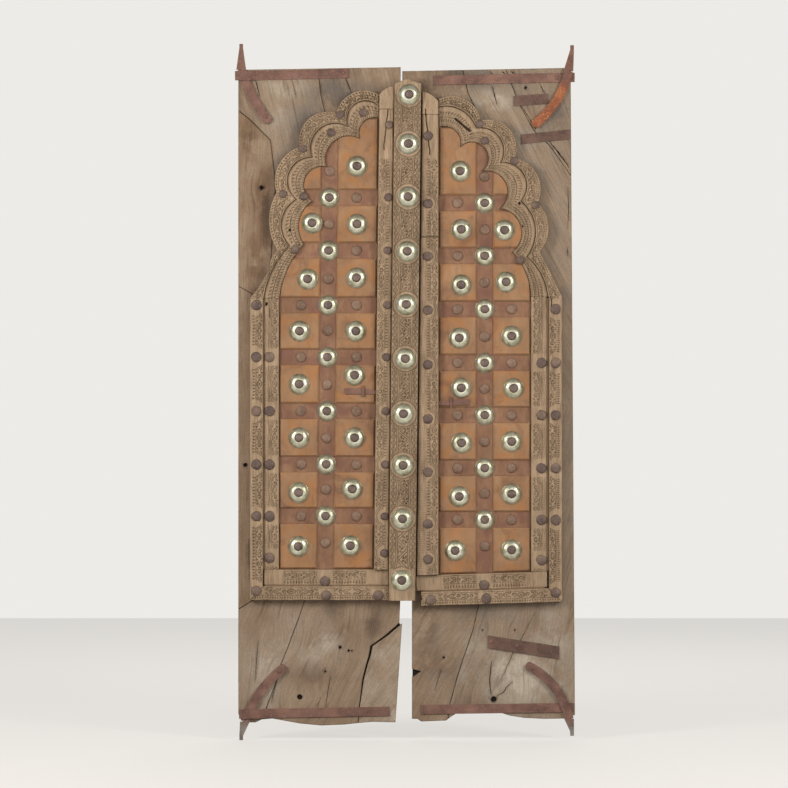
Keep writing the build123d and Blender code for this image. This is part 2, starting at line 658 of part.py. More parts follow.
def export_bosses(leaf, name, groups):
    """Brass bosses and the iron nail through each. A group is (radius, places)."""
    bosses = [heads(places, radius, BOSS_H, BOSS_SIDES) for radius, places in groups]
    crowns = [(u, z, depth + BOSS_H) for radius, places in groups for u, z, depth in places]
    export(leaf, f"{name}_bosses", Compound([solid for group in bosses for solid in group.solids()]))
    export(leaf, f"{name}_boss_nails", heads(crowns, BOSS_NAIL_R, BOSS_NAIL_H, BOSS_NAIL_SIDES))


def make_field_studs(leaf, faces):
    """Bosses on the panels and crossings, and iron studs on the battens between them."""
    wide = [(cell, face) for cell, face in enumerate(faces) if face.bounding_box().size.X > BOSS_R * 2]
    centers = {cell: face.center() for cell, face in wide}
    offs = {cell: leaf.boss_off.get(cell, (0, 0)) for cell in centers}
    on_panels = [(at.X + offs[cell][0], at.Y + offs[cell][1], PANEL_T) for cell, at in centers.items()]
    rows = [level(leaf, row) for row in range(BATTEN_COUNT)]
    crossings = [(post_u(leaf, z), z, BATTEN_T) for z in rows]
    export_bosses(leaf, leaf.name, [(BOSS_R, on_panels), (CROSS_BOSS_R, crossings)])
    upright = [z + BATTEN_PITCH / 2 for z in rows] + [rows[0] - BATTEN_PITCH / 2]
    studs = [(post_u(leaf, z), z, BATTEN_T) for z in upright]
    near = (meeting_u(leaf, rows[0]) + leaf.post_u - POST_W / 2) / 2
    far = (leaf.post_u + POST_W / 2 + leaf.field_side) / 2
    studs += [(near, z, BATTEN_T) for z in rows]
    studs += [(far, z, BATTEN_T) for z in rows[:-2]]
    export(leaf, f"{leaf.name}_batten_studs", heads(studs, STUD_R, STUD_H))


def meeting_studs(leaf, rows):
    """Studs of a meeting strip: beside the mullion on the left leaf, in a plumb row on the right one."""
    places = [z - drop for z, drop in zip(rows, leaf.stud_drop)]
    places += [rows[0] + leaf.end_studs[0], rows[-1] + leaf.end_studs[1]]
    if leaf.side < 0:
        radius = LEFT_MEETING_STUD_R
        return radius, [(strip_start(leaf, z) + radius + STUD_EDGE, z, MEETING_T) for z in places]
    return RIGHT_MEETING_STUD_R, [(RIGHT_MEETING_STUD_U, z, MEETING_T) for z in places]


def make_frame_studs(leaf):
    """Iron studs on the strips, rails and arch."""
    rows = [level(leaf, row) for row in range(BATTEN_COUNT)]
    outer_u = (leaf.strip_outer + leaf.strip_inner) / 2
    inner_u = leaf.inner_outer - STUD_R - STUD_EDGE
    studs = [(outer_u, z, OUTER_T) for z in rows[:-2]]
    studs += [(inner_u, z, INNER_T) for z in rows[:-3]]
    studs.append((outer_u, rail_z(leaf, outer_u, OUTER_CORNER_STUD_H), OUTER_T))
    studs.append((inner_u, rail_z(leaf, inner_u, INNER_CORNER_STUD_H), INNER_T))
    for u, share, on_outer in leaf.rail_studs:
        foot, height = (0, OUTER_RAIL_H) if on_outer else (OUTER_RAIL_H + RAIL_GAP, INNER_RAIL_H)
        studs.append((u, rail_z(leaf, u, foot + height * share), OUTER_T if on_outer else INNER_T))
    arch = [(*arch_point(leaf, across, up), OUTER_T if on_outer else INNER_T)
            for across, up, on_outer in leaf.arch_studs]
    radius, meeting = meeting_studs(leaf, rows)
    groups = [heads(studs, STUD_R, STUD_H), heads(arch, ARCH_STUD_R, STUD_H), heads(meeting, radius, STUD_H)]
    solids = [solid for group in groups for solid in group.solids()]
    export(leaf, f"{leaf.name}_frame_studs", Compound(solids))


# Iron

def band(line, width):
    """Face of even width along an arc, with a rounded far end."""
    sides = []
    for off in (-width / 2, width / 2):
        places = [line @ at + (line % at).rotate(Axis.Z, 90) * off for at in (0, 0.5, 1)]
        sides.append(ThreePointArc(*places))
    nose = line @ 1 + (line % 1) * BRACE_NOSE
    ends = [Line(sides[0] @ 0, sides[1] @ 0), ThreePointArc(sides[0] @ 1, nose, sides[1] @ 1)]
    return make_face(sides + ends)


def brace_line(leaf, brace, end_z):
    """Bowed middle line of a brace, from the leaf's end inwards."""
    start, end, bow = brace
    points = [(leaf.pivot - inset, end_z + height) for inset, height in (start, end)]
    return SagittaArc(*points, bow)


def flat_strap(leaf, ends, end_z):
    """Face of a strap that lies on the boards."""
    outer_inset, height, inner_inset, rise = ends
    outer, inner = leaf.edge - outer_inset, leaf.edge - inner_inset
    low = end_z + height
    high = low + STRAP_H
    return outline([(outer, low), (inner, low + rise), (inner, high + rise), (outer, high)])


def spike(leaf, base, tip_z):
    """Forged pivot, from the leaf's end to the round pin at its tip, which turns on the pivot line."""
    up = 1 if tip_z > base.Y else -1
    neck = tip_z - up * PIN_L
    front = outline([(base.X - SPIKE_W / 2, base.Y), (base.X + SPIKE_W / 2, base.Y),
                     (leaf.pivot + PIN_R, neck), (leaf.pivot - PIN_R, neck)])
    depth = outline([(0, base.Y), (BAR_T, base.Y), (BAR_T / 2 + PIN_R, neck), (BAR_T / 2 - PIN_R, neck)])
    edgewise = extrude(Plane.YZ.offset(-leaf.edge) * mirror(depth, about=Plane.YZ), leaf.edge * 3)
    pin = Cylinder(PIN_R, PIN_L, align=(Align.CENTER, Align.CENTER, Align.MIN))
    stand = Location((leaf.pivot, -BAR_T / 2, neck), (0 if up > 0 else 180, 0, 0))
    return (slab(front, 0, BAR_T) & edgewise) + stand * pin


def pivot_bar(leaf, brace, end_z, tip_z):
    """Spike and curved brace, forged as one bar."""
    line = brace_line(leaf, brace, end_z)
    return slab(band(line, BRACE_W), 0, BAR_T) + spike(leaf, line @ 0, tip_z)


def lifted_strap(leaf, ends, end_z, joggle):
    """Strap that runs over the pivot bar and is set down onto the boards from a distance inside the
    pivot line."""
    outer_inset, height, inner_inset, rise = ends
    outer, inner = leaf.edge - outer_inset, leaf.edge - inner_inset
    over = BAR_T + IRON_CLEAR
    bend = leaf.pivot - joggle
    flat_from = bend - JOGGLE_L
    plan = [(outer, -over), (bend, -over), (flat_from, 0), (inner, 0), (inner, -STRAP_T),
            (flat_from, -STRAP_T), (bend, -over - STRAP_T), (outer, -over - STRAP_T)]
    strap = extrude(outline(plan), STRAP_H)
    tilt = rise / (outer - inner) * 180 / pi
    return Location((outer, 0, end_z + height), (0, 1, 0), tilt) * Location((-outer, 0, 0)) * strap


def make_top_iron():
    """Top straps and pivots: the left strap is set over its bar, the right one runs under it."""
    corner_z = LEFT.top - LEFT.slope
    export(LEFT, "left_top_pivot", pivot_bar(LEFT, LEFT_TOP_BRACE, corner_z, corner_z + TOP_SPIKE_L))
    export(LEFT, "left_top_strap", lifted_strap(LEFT, LEFT_TOP_STRAP, LEFT.top, LEFT_TOP_JOGGLE))
    strap = slab(flat_strap(RIGHT, RIGHT_TOP_STRAP, RIGHT.top), 0, STRAP_T)
    way = slab(grown(flat_strap(RIGHT, RIGHT_TOP_STRAP, RIGHT.top), IRON_CLEAR), 0, STRAP_T)
    bar = pivot_bar(RIGHT, RIGHT_TOP_BRACE, RIGHT.top, RIGHT.top + TOP_SPIKE_L)
    export(RIGHT, "right_top_strap", strap)
    export(RIGHT, "right_top_pivot", bar - way)


def make_foot_iron():
    """Foot straps and pivots: the left strap is set over its bar, the right bar crosses over its strap."""
    export(LEFT, "left_foot_strap", lifted_strap(LEFT, LEFT_FOOT_STRAP, FOOT_Z, LEFT_FOOT_JOGGLE))
    export(LEFT, "left_foot_pivot", pivot_bar(LEFT, LEFT_FOOT_BRACE, FOOT_Z, 0))
    face = flat_strap(RIGHT, RIGHT_FOOT_STRAP, FOOT_Z)
    bar = pivot_bar(RIGHT, RIGHT_FOOT_BRACE, FOOT_Z, RIGHT_SPIKE_SHORT)
    export(RIGHT, "right_foot_strap", slab(face, 0, STRAP_T))
    export(RIGHT, "right_foot_pivot", bar - slab(grown(face, IRON_CLEAR), 0, STRAP_T))


def make_repair_straps():
    """Three short straps across the cracks of the right leaf."""
    for name, outer, inner, height in REPAIR_STRAPS:
        (u0, z0), (u1, z1) = on_edge(RIGHT, *outer), on_edge(RIGHT, *inner)
        half = height / 2
        face = outline([(u0, z0 - half), (u0, z0 + half), (u1, z1 + half), (u1, z1 - half)])
        export(RIGHT, f"right_{name}_repair_strap", slab(face, 0, STRAP_T))


def make_latch(leaf):
    """Remains of a latch bar, lying on an inner panel against the meeting strip."""
    z = leaf.first + leaf.latch_rise
    start = meeting_u(leaf, z) + LAY_GAP
    middle, end, top = start + LATCH_L / 2, start + LATCH_L, z + LATCH_H
    bar = outline([(start, z), (start, z + LATCH_END_H), (middle, top), (end, top), (end, z)])
    lug = Location((start + LATCH_LUG_U, z + LATCH_H / 2)) * Rectangle(LATCH_LUG_W, LATCH_LUG_H)
    latch = slab(bar, PANEL_T, PANEL_T + LATCH_T) + slab(lug, PANEL_T, PANEL_T + LATCH_T * 2)
    export(leaf, f"{leaf.name}_latch_bar", latch)


def brace_nail(leaf, brace, end_z):
    """Place of the nail near the inner end of a brace."""
    line = brace_line(leaf, brace, end_z)
    at = line @ (1 - BRACE_NAIL_INSET / line.length)
    return (at.X, at.Y, BAR_T)


def make_iron_nails():
    """Nails through the straps and braces."""
    left = [(*on_edge(LEFT, *nail), STRAP_T) for nail in LEFT_STRAP_NAILS]
    left.append(brace_nail(LEFT, LEFT_TOP_BRACE, LEFT.top - LEFT.slope))
    left.append(brace_nail(LEFT, LEFT_FOOT_BRACE, FOOT_Z))
    right = [(*on_edge(RIGHT, *nail), STRAP_T) for nail in RIGHT_STRAP_NAILS]
    right.append(brace_nail(RIGHT, RIGHT_FOOT_BRACE, FOOT_Z))
    export(LEFT, "left_iron_nails", heads(left, NAIL_R, NAIL_H))
    export(RIGHT, "right_iron_nails", heads(right, NAIL_R, NAIL_H))


def main():
    os.makedirs("parts", exist_ok=True)
    make_left_boards()
    make_right_boards()
    for leaf in (LEFT, RIGHT):
        field = field_face(leaf)
        make_arches(leaf)
        make_finial(leaf)
        make_strips(leaf)
        make_battens(leaf, field)
        make_field_studs(leaf, make_panels(leaf, field))
        make_frame_studs(leaf)
    make_mullion()
    on_mullion = [(u, z, MULLION_T) for u, z in mullion_boss_places()]
    export_bosses(LEFT, "mullion", [(MULLION_BOSS_R, on_mullion)])
    make_top_iron()
    make_foot_iron()
    make_repair_straps()
    make_latch(LEFT)
    make_latch(RIGHT)
    make_iron_nails()


main()
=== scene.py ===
from math import pi, radians

import bpy
import numpy as np
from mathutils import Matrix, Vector
from mathutils.geometry import delaunay_2d_cdt


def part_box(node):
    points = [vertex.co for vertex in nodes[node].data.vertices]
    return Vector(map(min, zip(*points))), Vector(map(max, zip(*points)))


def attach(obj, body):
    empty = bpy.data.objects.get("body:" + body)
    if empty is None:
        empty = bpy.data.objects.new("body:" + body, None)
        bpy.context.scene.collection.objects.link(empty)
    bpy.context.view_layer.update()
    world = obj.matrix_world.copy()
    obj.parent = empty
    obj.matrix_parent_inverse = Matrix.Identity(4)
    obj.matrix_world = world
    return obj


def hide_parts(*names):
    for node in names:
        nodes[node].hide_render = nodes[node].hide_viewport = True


# A pair of carved door leaves: weathered boards, chip carved mouldings, a studded field of orange
# panels, brass bosses and rusted iron. Everything is in metres, and MM turns millimetres into metres.

MM = 0.001
STEP = 1.5 * MM       # how far apart the rings of a carved moulding are
DUST_STEP = 6 * MM    # and those of the dust in joints and of the painted shadow in seams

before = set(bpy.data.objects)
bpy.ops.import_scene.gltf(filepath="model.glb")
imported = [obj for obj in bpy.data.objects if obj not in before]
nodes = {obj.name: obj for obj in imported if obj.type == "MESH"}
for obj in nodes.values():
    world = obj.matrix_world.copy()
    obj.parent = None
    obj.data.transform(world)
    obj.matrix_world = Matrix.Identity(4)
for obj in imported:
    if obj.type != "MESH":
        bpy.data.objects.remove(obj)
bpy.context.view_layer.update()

BODIES = {"left": "left_leaf", "right": "right_leaf", "mullion": "left_leaf"}
RNG = np.random.default_rng(7)
BACK_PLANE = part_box("left_outer_arch")[1].y


# Reading the frame

def flat_loops(node, back=False):
    """Outlines of a node's flat front or back areas, as a list of (x and z of the corners, y).

    A triangle counts if it lies in one plane of constant y and faces the chosen way. An edge that
    only one such triangle has is on an outline, and the edges are then chained end to end."""
    mesh = nodes[node].data
    co = np.empty(len(mesh.vertices) * 3)
    mesh.vertices.foreach_get("co", co)
    tri = np.empty(len(mesh.polygons) * 3, int)
    mesh.polygons.foreach_get("vertices", tri)
    spots, index = np.unique(np.round(co.reshape(-1, 3), 5), axis=0, return_inverse=True)
    tri = index.ravel()[tri].reshape(-1, 3)
    corner = spots[tri]
    facing = np.cross(corner[:, 1] - corner[:, 0], corner[:, 2] - corner[:, 0])[:, 1]
    level = np.ptp(corner[:, :, 1], axis=1) < 2e-5
    tri = tri[level & ((facing > 0) if back else (facing < 0))]
    edges = np.concatenate([tri[:, [0, 1]], tri[:, [1, 2]], tri[:, [2, 0]]])
    known = {tuple(edge) for edge in edges}
    following = {a: b for a, b in known if (b, a) not in known}
    loops = []
    while following:
        start, here = following.popitem()
        chain = [start]
        while here != start and here in following:
            chain.append(here)
            here = following.pop(here)
        points = spots[chain]
        loops.append((points[:, [0, 2]][::-1 if back else 1], points[0, 1]))
    return loops


def heads_of(node):
    """Middle, radius, foot and top of every head in a node of studs, bosses or nails, lowest first."""
    feet = sorted(flat_loops(node, back=True),
                  key=lambda loop: (round(loop[0][:, 1].mean(), 3), loop[0][:, 0].mean()))
    tops = [(points.mean(0), y) for points, y in flat_loops(node)]
    found = []
    for points, foot in feet:
        middle = points.mean(0)
        top = min(tops, key=lambda other: np.linalg.norm(other[0] - middle))[1]
        found.append((middle, np.linalg.norm(points - middle, axis=1).max(), foot, top))
    return found


# Making meshes

def put_mesh(name, verts, faces, material, node, attributes=None, smooth=True, uv=None):
    """New piece from arrays, riding on the body of the node that it stands for, or of the side that is given
    instead. The volume of a closed piece is the sum of a . (b x c) / 6 over its triangles, and is negative
    where they face inwards."""
    mesh = bpy.data.meshes.new(name)
    mesh.from_pydata(np.asarray(verts, float).tolist(), [], faces)
    if smooth:
        mesh.polygons.foreach_set("use_smooth", np.ones(len(mesh.polygons), bool))
    for title, values in (attributes or {}).items():
        layer = mesh.attributes.new(title, "FLOAT", "POINT")
        layer.data.foreach_set("value", np.asarray(values, np.float32).ravel())
    if uv is not None:
        corner = np.empty(len(mesh.loops), int)
        mesh.loops.foreach_get("vertex_index", corner)
        layer = mesh.uv_layers.new(name="grain")
        layer.data.foreach_set("uv", np.asarray(uv, np.float32)[corner].ravel())
    mesh.update()
    mesh.calc_loop_triangles()
    corners = np.empty(len(mesh.loop_triangles) * 3, int)
    mesh.loop_triangles.foreach_get("vertices", corners)
    a, b, c = np.asarray(verts, float)[corners.reshape(-1, 3)].transpose(1, 0, 2)
    if np.sum(a * np.cross(b, c)) < 0:
        mesh.flip_normals()
    piece = bpy.data.objects.new(name, mesh)
    bpy.context.scene.collection.objects.link(piece)
    mesh.materials.append(material)
    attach(piece, BODIES[node.split("_")[0]])
    if node in nodes:
        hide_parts(node)


def at_level(flat, level):
    """Points in space from x and z: y is the same level for all of them, or one for each."""
    return np.stack([flat[..., 0], level + 0 * flat[..., 0], flat[..., 1]], -1)


def box_rings(first, second, top, foot):
    """Four corners at each place of a ribbon: its two edges at the top level, then both at the foot."""
    return np.stack([at_level(edge, level) for edge, level in
                     ((first, top), (second, top), (second, foot), (first, foot))], 1)


def tube_faces(count, around, start=0):
    """Quads of a closed profile of `around` points carried through `count` places, with both ends shut."""
    row = np.arange(count - 1)[:, None] * around
    col = np.arange(around)[None, :]
    after = (col + 1) % around
    quads = np.stack([row + col, row + after, row + around + after, row + around + col], -1).reshape(-1, 4)
    faces = (quads + start).tolist()
    faces.append([start + k for k in range(around)][::-1])
    faces.append([start + (count - 1) * around + k for k in range(around)])
    return faces


def run_of(line):
    """Distance along a line of corners from its start to each of them."""
    return np.concatenate([[0], np.cumsum(np.linalg.norm(np.diff(line, axis=0), axis=1))])


def resampled(line, count):
    """Points evenly spaced along a line of corners."""
    run = run_of(line)
    at = np.linspace(0, run[-1], count)
    return np.stack([np.interp(at, run, line[:, axis]) for axis in (0, 1)], -1)


def off_line(at, line, closed=False):
    """Distance of each place from a line of corners."""
    first, second = (line, np.roll(line, -1, axis=0)) if closed else (line[:-1], line[1:])
    run = second - first
    far = np.full(len(at), np.inf)
    for start, step in zip(first, run):
        share = np.clip((at - start) @ step / max(step @ step, 1e-12), 0, 1)
        far = np.minimum(far, np.linalg.norm(at - start - share[:, None] * step, axis=1))
    return far


def smooth_step(x, low, high):
    """0 below low, 1 above high, and an S curve between."""
    t = np.clip((x - low) / (high - low), 0, 1)
    return t * t * (3 - 2 * t)


def wander(x, scale, seed=0.0):
    """Slow uneven wave between about -1 and 1: three sines with unlike periods."""
    return (np.sin(x / scale * 2.1 + seed) + np.sin(x / scale * 3.7 + seed * 2.3) * 0.6
            + np.sin(x / scale * 6.1 + seed * 1.7) * 0.4) / 2


# Materials

# Sizes of the patterns in millimetres, each about the distance between two of its features
RUST_PATCH = 41.67
RUST_FLECK = 6.25
RUST_GRIT = 2.381
HAMMER_DENT = 22.22
TARNISH_PATCH = 16.67
BRASS_PIT = 6.667
PANEL_STREAK = 58.82
WOOD_PATCH = 111.1
WOOD_STAIN = 83.33
PLANK_MOTTLE = 4.762
PLANK_BLOTCH = 76.92
PLANK_FIGURE = (333.3, 38.46, 1000)    # along and across the grain, which is flat
PLANK_FIBRE = (62.5, 3.846, 1000)
PLANK_CHECK = (142.9, 8.333, 1000)

# Sockets of a node that mixes two colours
FACTOR, FIRST, SECOND, RESULT = 0, 6, 7, 2


def linear(hexcode):
    """sRGB hex to the linear colour that nodes take."""
    part = [int(hexcode[k:k + 2], 16) / 255 for k in (0, 2, 4)]
    return [c / 12.92 if c <= 0.04045 else ((c + 0.055) / 1.055) ** 2.4 for c in part] + [1.0]


def add(tree, kind, links=None, out=0, stops=(), **settings):
    """One node with its settings, what feeds its sockets, and the (place, hex) stops of a colour ramp. It
    gives the output asked for, or the node itself where that is None."""
    node = tree.nodes.new(kind)
    for name, value in settings.items():
        setattr(node, name, value)
    for socket, value in (links or {}).items():
        if isinstance(value, bpy.types.NodeSocket):
            tree.links.new(value, node.inputs[socket])
        else:
            node.inputs[socket].default_value = value
    if stops:
        band = node.color_ramp.elements
        while len(band) < len(stops):
            band.new(0.5)
        for element, (place, colour) in zip(band, stops):
            element.position, element.color = place, linear(colour)
    return node if out is None else node.outputs[out]


def new_material(name):
    """Empty material and its tree of nodes."""
    material = bpy.data.materials.new(name)
    material.use_nodes = True
    material.node_tree.nodes.clear()
    return material, material.node_tree


def surfaced(material, links):
    """The material, with a principled shader that has the given colour, roughness, bumps and so on."""
    tree = material.node_tree
    add(tree, "ShaderNodeOutputMaterial", {0: add(tree, "ShaderNodeBsdfPrincipled", links)}, None)
    return material


def shaded(tree, colour, value, low, high, dark, light):
    """Colour times a tone that goes from dark to light while a value goes from low to high."""
    tone = add(tree, "ShaderNodeMapRange", {"Value": value, "From Min": low, "From Max": high,
                                            "To Min": dark, "To Max": light})
    return add(tree, "ShaderNodeMix", {FACTOR: 1.0, FIRST: colour, SECOND: tone}, RESULT,
               data_type="RGBA", blend_type="MULTIPLY")


def covered(tree, colour, value, low, high, over, most=1.0):
    """Colour that another one covers, up to a share, while a value goes from low to high."""
    where = add(tree, "ShaderNodeMapRange", {"Value": value, "From Min": low, "From Max": high, "To Max": most})
    return add(tree, "ShaderNodeMix", {FACTOR: where, FIRST: colour, SECOND: over}, RESULT, data_type="RGBA")


def soiled_and_shaded(tree, colour, hexcode):
    """Colour under the dirt and painted shade that the piece's own attribute tells of."""
    dirt = add(tree, "ShaderNodeAttribute", None, "Fac", attribute_name="dirt")
    return add(tree, "ShaderNodeMix", {FACTOR: dirt, FIRST: colour, SECOND: linear(hexcode)}, RESULT,
               data_type="RGBA")


def patches(tree, at, size, detail, rough, distortion=0.0):
    """Cloudy pattern between 0 and 1 on some coordinates, with patches of one size in millimetres, or of a
    size along each axis."""
    scale = [1 / (length * MM) for length in np.broadcast_to(size, 3)]
    at = add(tree, "ShaderNodeMapping", {"Vector": at, "Scale": scale})
    return add(tree, "ShaderNodeTexNoise", {"Vector": at, "Scale": 1.0, "Detail": detail, "Roughness": rough,
                                            "Distortion": distortion})


def dented(tree, *layers):
    """Bumps laid one over another, the broad ones first: each a height, its depth in metres and a strength."""
    under = {}
    for height, depth, strength in layers:
        links = {"Height": height, "Distance": depth, "Strength": strength, **under}
        under = {"Normal": add(tree, "ShaderNodeBump", links)}
    return under["Normal"]


def timber(name, grain, stops, dirt_colour, roughness, bump, pore_dark=0.62, stain=None, second=None):
    """Old timber: colour from a noise stretched along the grain, darker open pores, blotches of a second
    colour and of stain, and dirt with painted shade in what is cut. The grain is the width and length of its
    figure in millimetres; the pores are a fifth as wide and a quarter as long."""
    material, tree = new_material(name)
    place = add(tree, "ShaderNodeTexCoord", None, "Object")
    across, along = grain
    figure = patches(tree, place, (across, across, along), 6.0, 0.62, 0.6)
    pores = patches(tree, place, (across / 5, across / 5, along / 4), 3.0, 0.6)
    colour = add(tree, "ShaderNodeValToRGB", {"Fac": figure}, stops=stops)
    colour = shaded(tree, colour, pores, 0.30, 0.52, pore_dark, 1.0)
    if second:
        streak = patches(tree, place, PANEL_STREAK, 4.0, 0.6, 0.8)
        colour = covered(tree, colour, streak, 0.46, 0.64, linear(second), 0.85)
    colour = shaded(tree, colour, patches(tree, place, WOOD_PATCH, 3.0, 0.5), 0.3, 0.7, 0.86, 1.12)
    if stain:
        spread = patches(tree, place, WOOD_STAIN, 5.0, 0.65, 1.2)
        colour = covered(tree, colour, spread, 0.53, 0.72, linear(stain), 0.8)
    normal = dented(tree, (figure, 1.6 * MM, bump), (pores, 0.5 * MM, bump))
    return surfaced(material, {"Base Color": soiled_and_shaded(tree, colour, dirt_colour), "Roughness": roughness,
                               "Specular IOR Level": 0.25, "Normal": normal})


def rusted(name, stops, bright, roughness=0.72, above=None):
    """Wrought iron with a skin of rust: brown patches of two sizes, brighter rust flecks, hammer dents. Above a
    height in metres it can have other stops."""
    material, tree = new_material(name)
    at = add(tree, "ShaderNodeTexCoord", None, "Object")
    broad = patches(tree, at, RUST_PATCH, 5.0, 0.6)
    fleck = patches(tree, at, RUST_FLECK, 3.0, 0.6)
    colour = add(tree, "ShaderNodeValToRGB", {"Fac": broad}, stops=stops)
    colour = covered(tree, colour, fleck, 0.56, 0.70, linear(bright))
    if above:
        start, upper_stops = above
        height = add(tree, "ShaderNodeSeparateXYZ", {0: at}, "Z")
        upper = add(tree, "ShaderNodeValToRGB", {"Fac": broad}, stops=upper_stops)
        colour = covered(tree, colour, height, start, start + 30 * MM, upper)
    colour = shaded(tree, colour, patches(tree, at, RUST_GRIT, 2.0, 0.5), 0.3, 0.7, 0.72, 1.15)
    dents = patches(tree, at, HAMMER_DENT, 2.0, 0.5)
    normal = dented(tree, (dents, 2.5 * MM, 0.5), (fleck, 0.6 * MM, 0.6))
    return surfaced(material, {"Base Color": colour, "Metallic": 0.25, "Roughness": roughness,
                               "Normal": normal})


def brass():
    """Spun brass, rubbed bright on the crown and gone green-grey in the hollows."""
    material, tree = new_material("rubbed_brass")
    at = add(tree, "ShaderNodeTexCoord", None, "Object")
    tarnish = patches(tree, at, TARNISH_PATCH, 4.0, 0.6)
    stops = ((0.30, "97957A"), (0.50, "C6C4AC"), (0.72, "E2E1D0"))
    colour = add(tree, "ShaderNodeValToRGB", {"Fac": tarnish}, stops=stops)
    rough = add(tree, "ShaderNodeMapRange", {"Value": tarnish, "From Min": 0.3, "From Max": 0.75,
                                             "To Min": 0.42, "To Max": 0.28})
    normal = dented(tree, (patches(tree, at, BRASS_PIT, 2.0, 0.55), 0.9 * MM, 0.5))
    return surfaced(material, {"Base Color": soiled_and_shaded(tree, colour, "4A452F"), "Metallic": 1.0,
                               "Roughness": rough, "Normal": normal})


def plank_wood():
    """Weathered plank: fibres and dark checks drawn along the grain, greyed and browned in blotches, with dirt
    and painted shade in cracks, knot holes and along the rim. It reads the board's own grain map, which runs
    along the fibres."""
    material, tree = new_material("weathered_plank")
    grain = add(tree, "ShaderNodeUVMap", uv_map="grain")
    place = add(tree, "ShaderNodeTexCoord", None, "Object")
    figure = patches(tree, grain, PLANK_FIGURE, 4.0, 0.55, 0.4)
    fibre = patches(tree, grain, PLANK_FIBRE, 4.0, 0.65, 0.4)
    check = patches(tree, grain, PLANK_CHECK, 2.0, 0.5, 0.5)
    mottle = patches(tree, place, PLANK_MOTTLE, 3.0, 0.6)
    stops = ((0.25, "816E5C"), (0.45, "917D69"), (0.60, "9A8773"), (0.80, "A49483"))
    colour = add(tree, "ShaderNodeValToRGB", {"Fac": figure}, stops=stops)
    blotch = patches(tree, place, PLANK_BLOTCH, 5.0, 0.65)
    spread = add(tree, "ShaderNodeMapRange", {"Value": blotch, "From Min": 0.38, "From Max": 0.60,
                                              "To Min": 0.15, "To Max": 1.45})
    # The grey attribute also carries the painted shade beside the arch
    for name, hue in (("brown", "7C5F46"), ("grey", "6C625A"), ("pale", "B5AA9B")):
        amount = add(tree, "ShaderNodeAttribute", None, "Fac", attribute_name=name)
        share = add(tree, "ShaderNodeMath", {0: amount, 1: spread}, operation="MULTIPLY")
        colour = add(tree, "ShaderNodeMix", {FACTOR: share, FIRST: colour, SECOND: linear(hue)}, RESULT,
                     data_type="RGBA")
    for value, *tones in ((fibre, 0.32, 0.66, 0.82, 1.10), (check, 0.30, 0.42, 0.74, 1.0),
                          (mottle, 0.3, 0.7, 0.90, 1.08)):
        colour = shaded(tree, colour, value, *tones)
    # Dirt with painted shade: near black in cracks and knot holes, darker along the rim, with a little of the
    # painted shade beside the arch
    dirt = add(tree, "ShaderNodeAttribute", None, "Fac", attribute_name="dirt")
    solid = add(tree, "ShaderNodeMapRange", {"Value": dirt, "From Min": 0.55, "From Max": 0.9})
    loose = add(tree, "ShaderNodeMath", {0: dirt, 1: spread}, operation="MULTIPLY")
    thin = add(tree, "ShaderNodeMath", {0: loose, 1: 0.72}, operation="MULTIPLY")
    dirt = add(tree, "ShaderNodeMath", {0: solid, 1: thin}, operation="MAXIMUM")
    colour = add(tree, "ShaderNodeMix", {FACTOR: dirt, FIRST: colour, SECOND: linear("1E1610")}, RESULT,
                 data_type="RGBA")
    normal = dented(tree, (check, 1.2 * MM, 0.5), (fibre, 0.7 * MM, 0.5))
    return surfaced(material, {"Base Color": colour, "Roughness": 0.85, "Specular IOR Level": 0.2,
                               "Normal": normal})


def packed_dirt(name, colour):
    """Plain matte fill in seams and joints: near black in the board seams, as painted shadow, brown dust
    between the carved strips.
    """
    return surfaced(new_material(name)[0], {"Base Color": linear(colour), "Roughness": 1.0})


PLANK = plank_wood()
# Near-black fill in the board seams and in the notch: painted shadow
SEAM_SHADOW = packed_dirt("packed_dirt", "17110C")
DUST = packed_dirt("joint_dust", "7A6550")
WOODS = {
    "carved": timber("chip_carved_wood", (14.29, 142.9),
                     ((0.2, "856F58"), (0.45, "A08970"), (0.62, "AC957C"), (0.82, "B9A48C")),
                     "35291D", 0.85, 0.3),
    "panel": timber("orange_panel", (55.56, 111.1),
                    ((0.2, "85654B"), (0.42, "957357"), (0.6, "9E7B5C"), (0.82, "A68668")),
                    "4A2A1C", 0.75, 0.12, 0.86, "735443", "A1724A"),
    "batten": timber("dark_batten", (33.33, 83.33),
                     ((0.2, "745744"), (0.45, "876550"), (0.65, "906F58"), (0.85, "9B7B65")),
                     "35201A", 0.8, 0.2, 0.80, None, "79564A"),
}
STRAP_STOPS = ((0.3, "5E453E"), (0.5, "7B5B50"), (0.7, "906E60"))
BROWN_STOPS = ((0.3, "5E443C"), (0.5, "7A574A"), (0.7, "8E6B5C"))
IRONS = {
    "iron": rusted("rusted_strap_iron", STRAP_STOPS, "8F6552"),
    "foot_iron": rusted("worn_foot_iron", ((0.3, "66605B"), (0.5, "807A74"), (0.7, "96908A")), "8F6552",
                        above=(35 * MM, STRAP_STOPS)),
    "orange_iron": rusted("orange_rusted_iron", ((0.3, "74432F"), (0.5, "96583A"), (0.7, "B07348")), "C08A5A",
                          above=(1955 * MM, BROWN_STOPS)),
    "dark_iron": rusted("dark_strap_iron", ((0.3, "523E37"), (0.5, "6B5147"), (0.7, "7C6155")), "77594D"),
    "stud": rusted("forged_stud_iron", ((0.3, "4B3E3A"), (0.5, "65534C"), (0.7, "84705F")), "7F6B60", 0.6),
    "flat_stud": rusted("worn_stud_iron", ((0.3, "66503F"), (0.5, "7E6554"), (0.7, "907765")), "98806E", 0.6),
    "nail": rusted("boss_nail_iron", ((0.3, "4C403C"), (0.5, "685852"), (0.7, "7A6861")), "84706A", 0.5),
}
BRASS = brass()


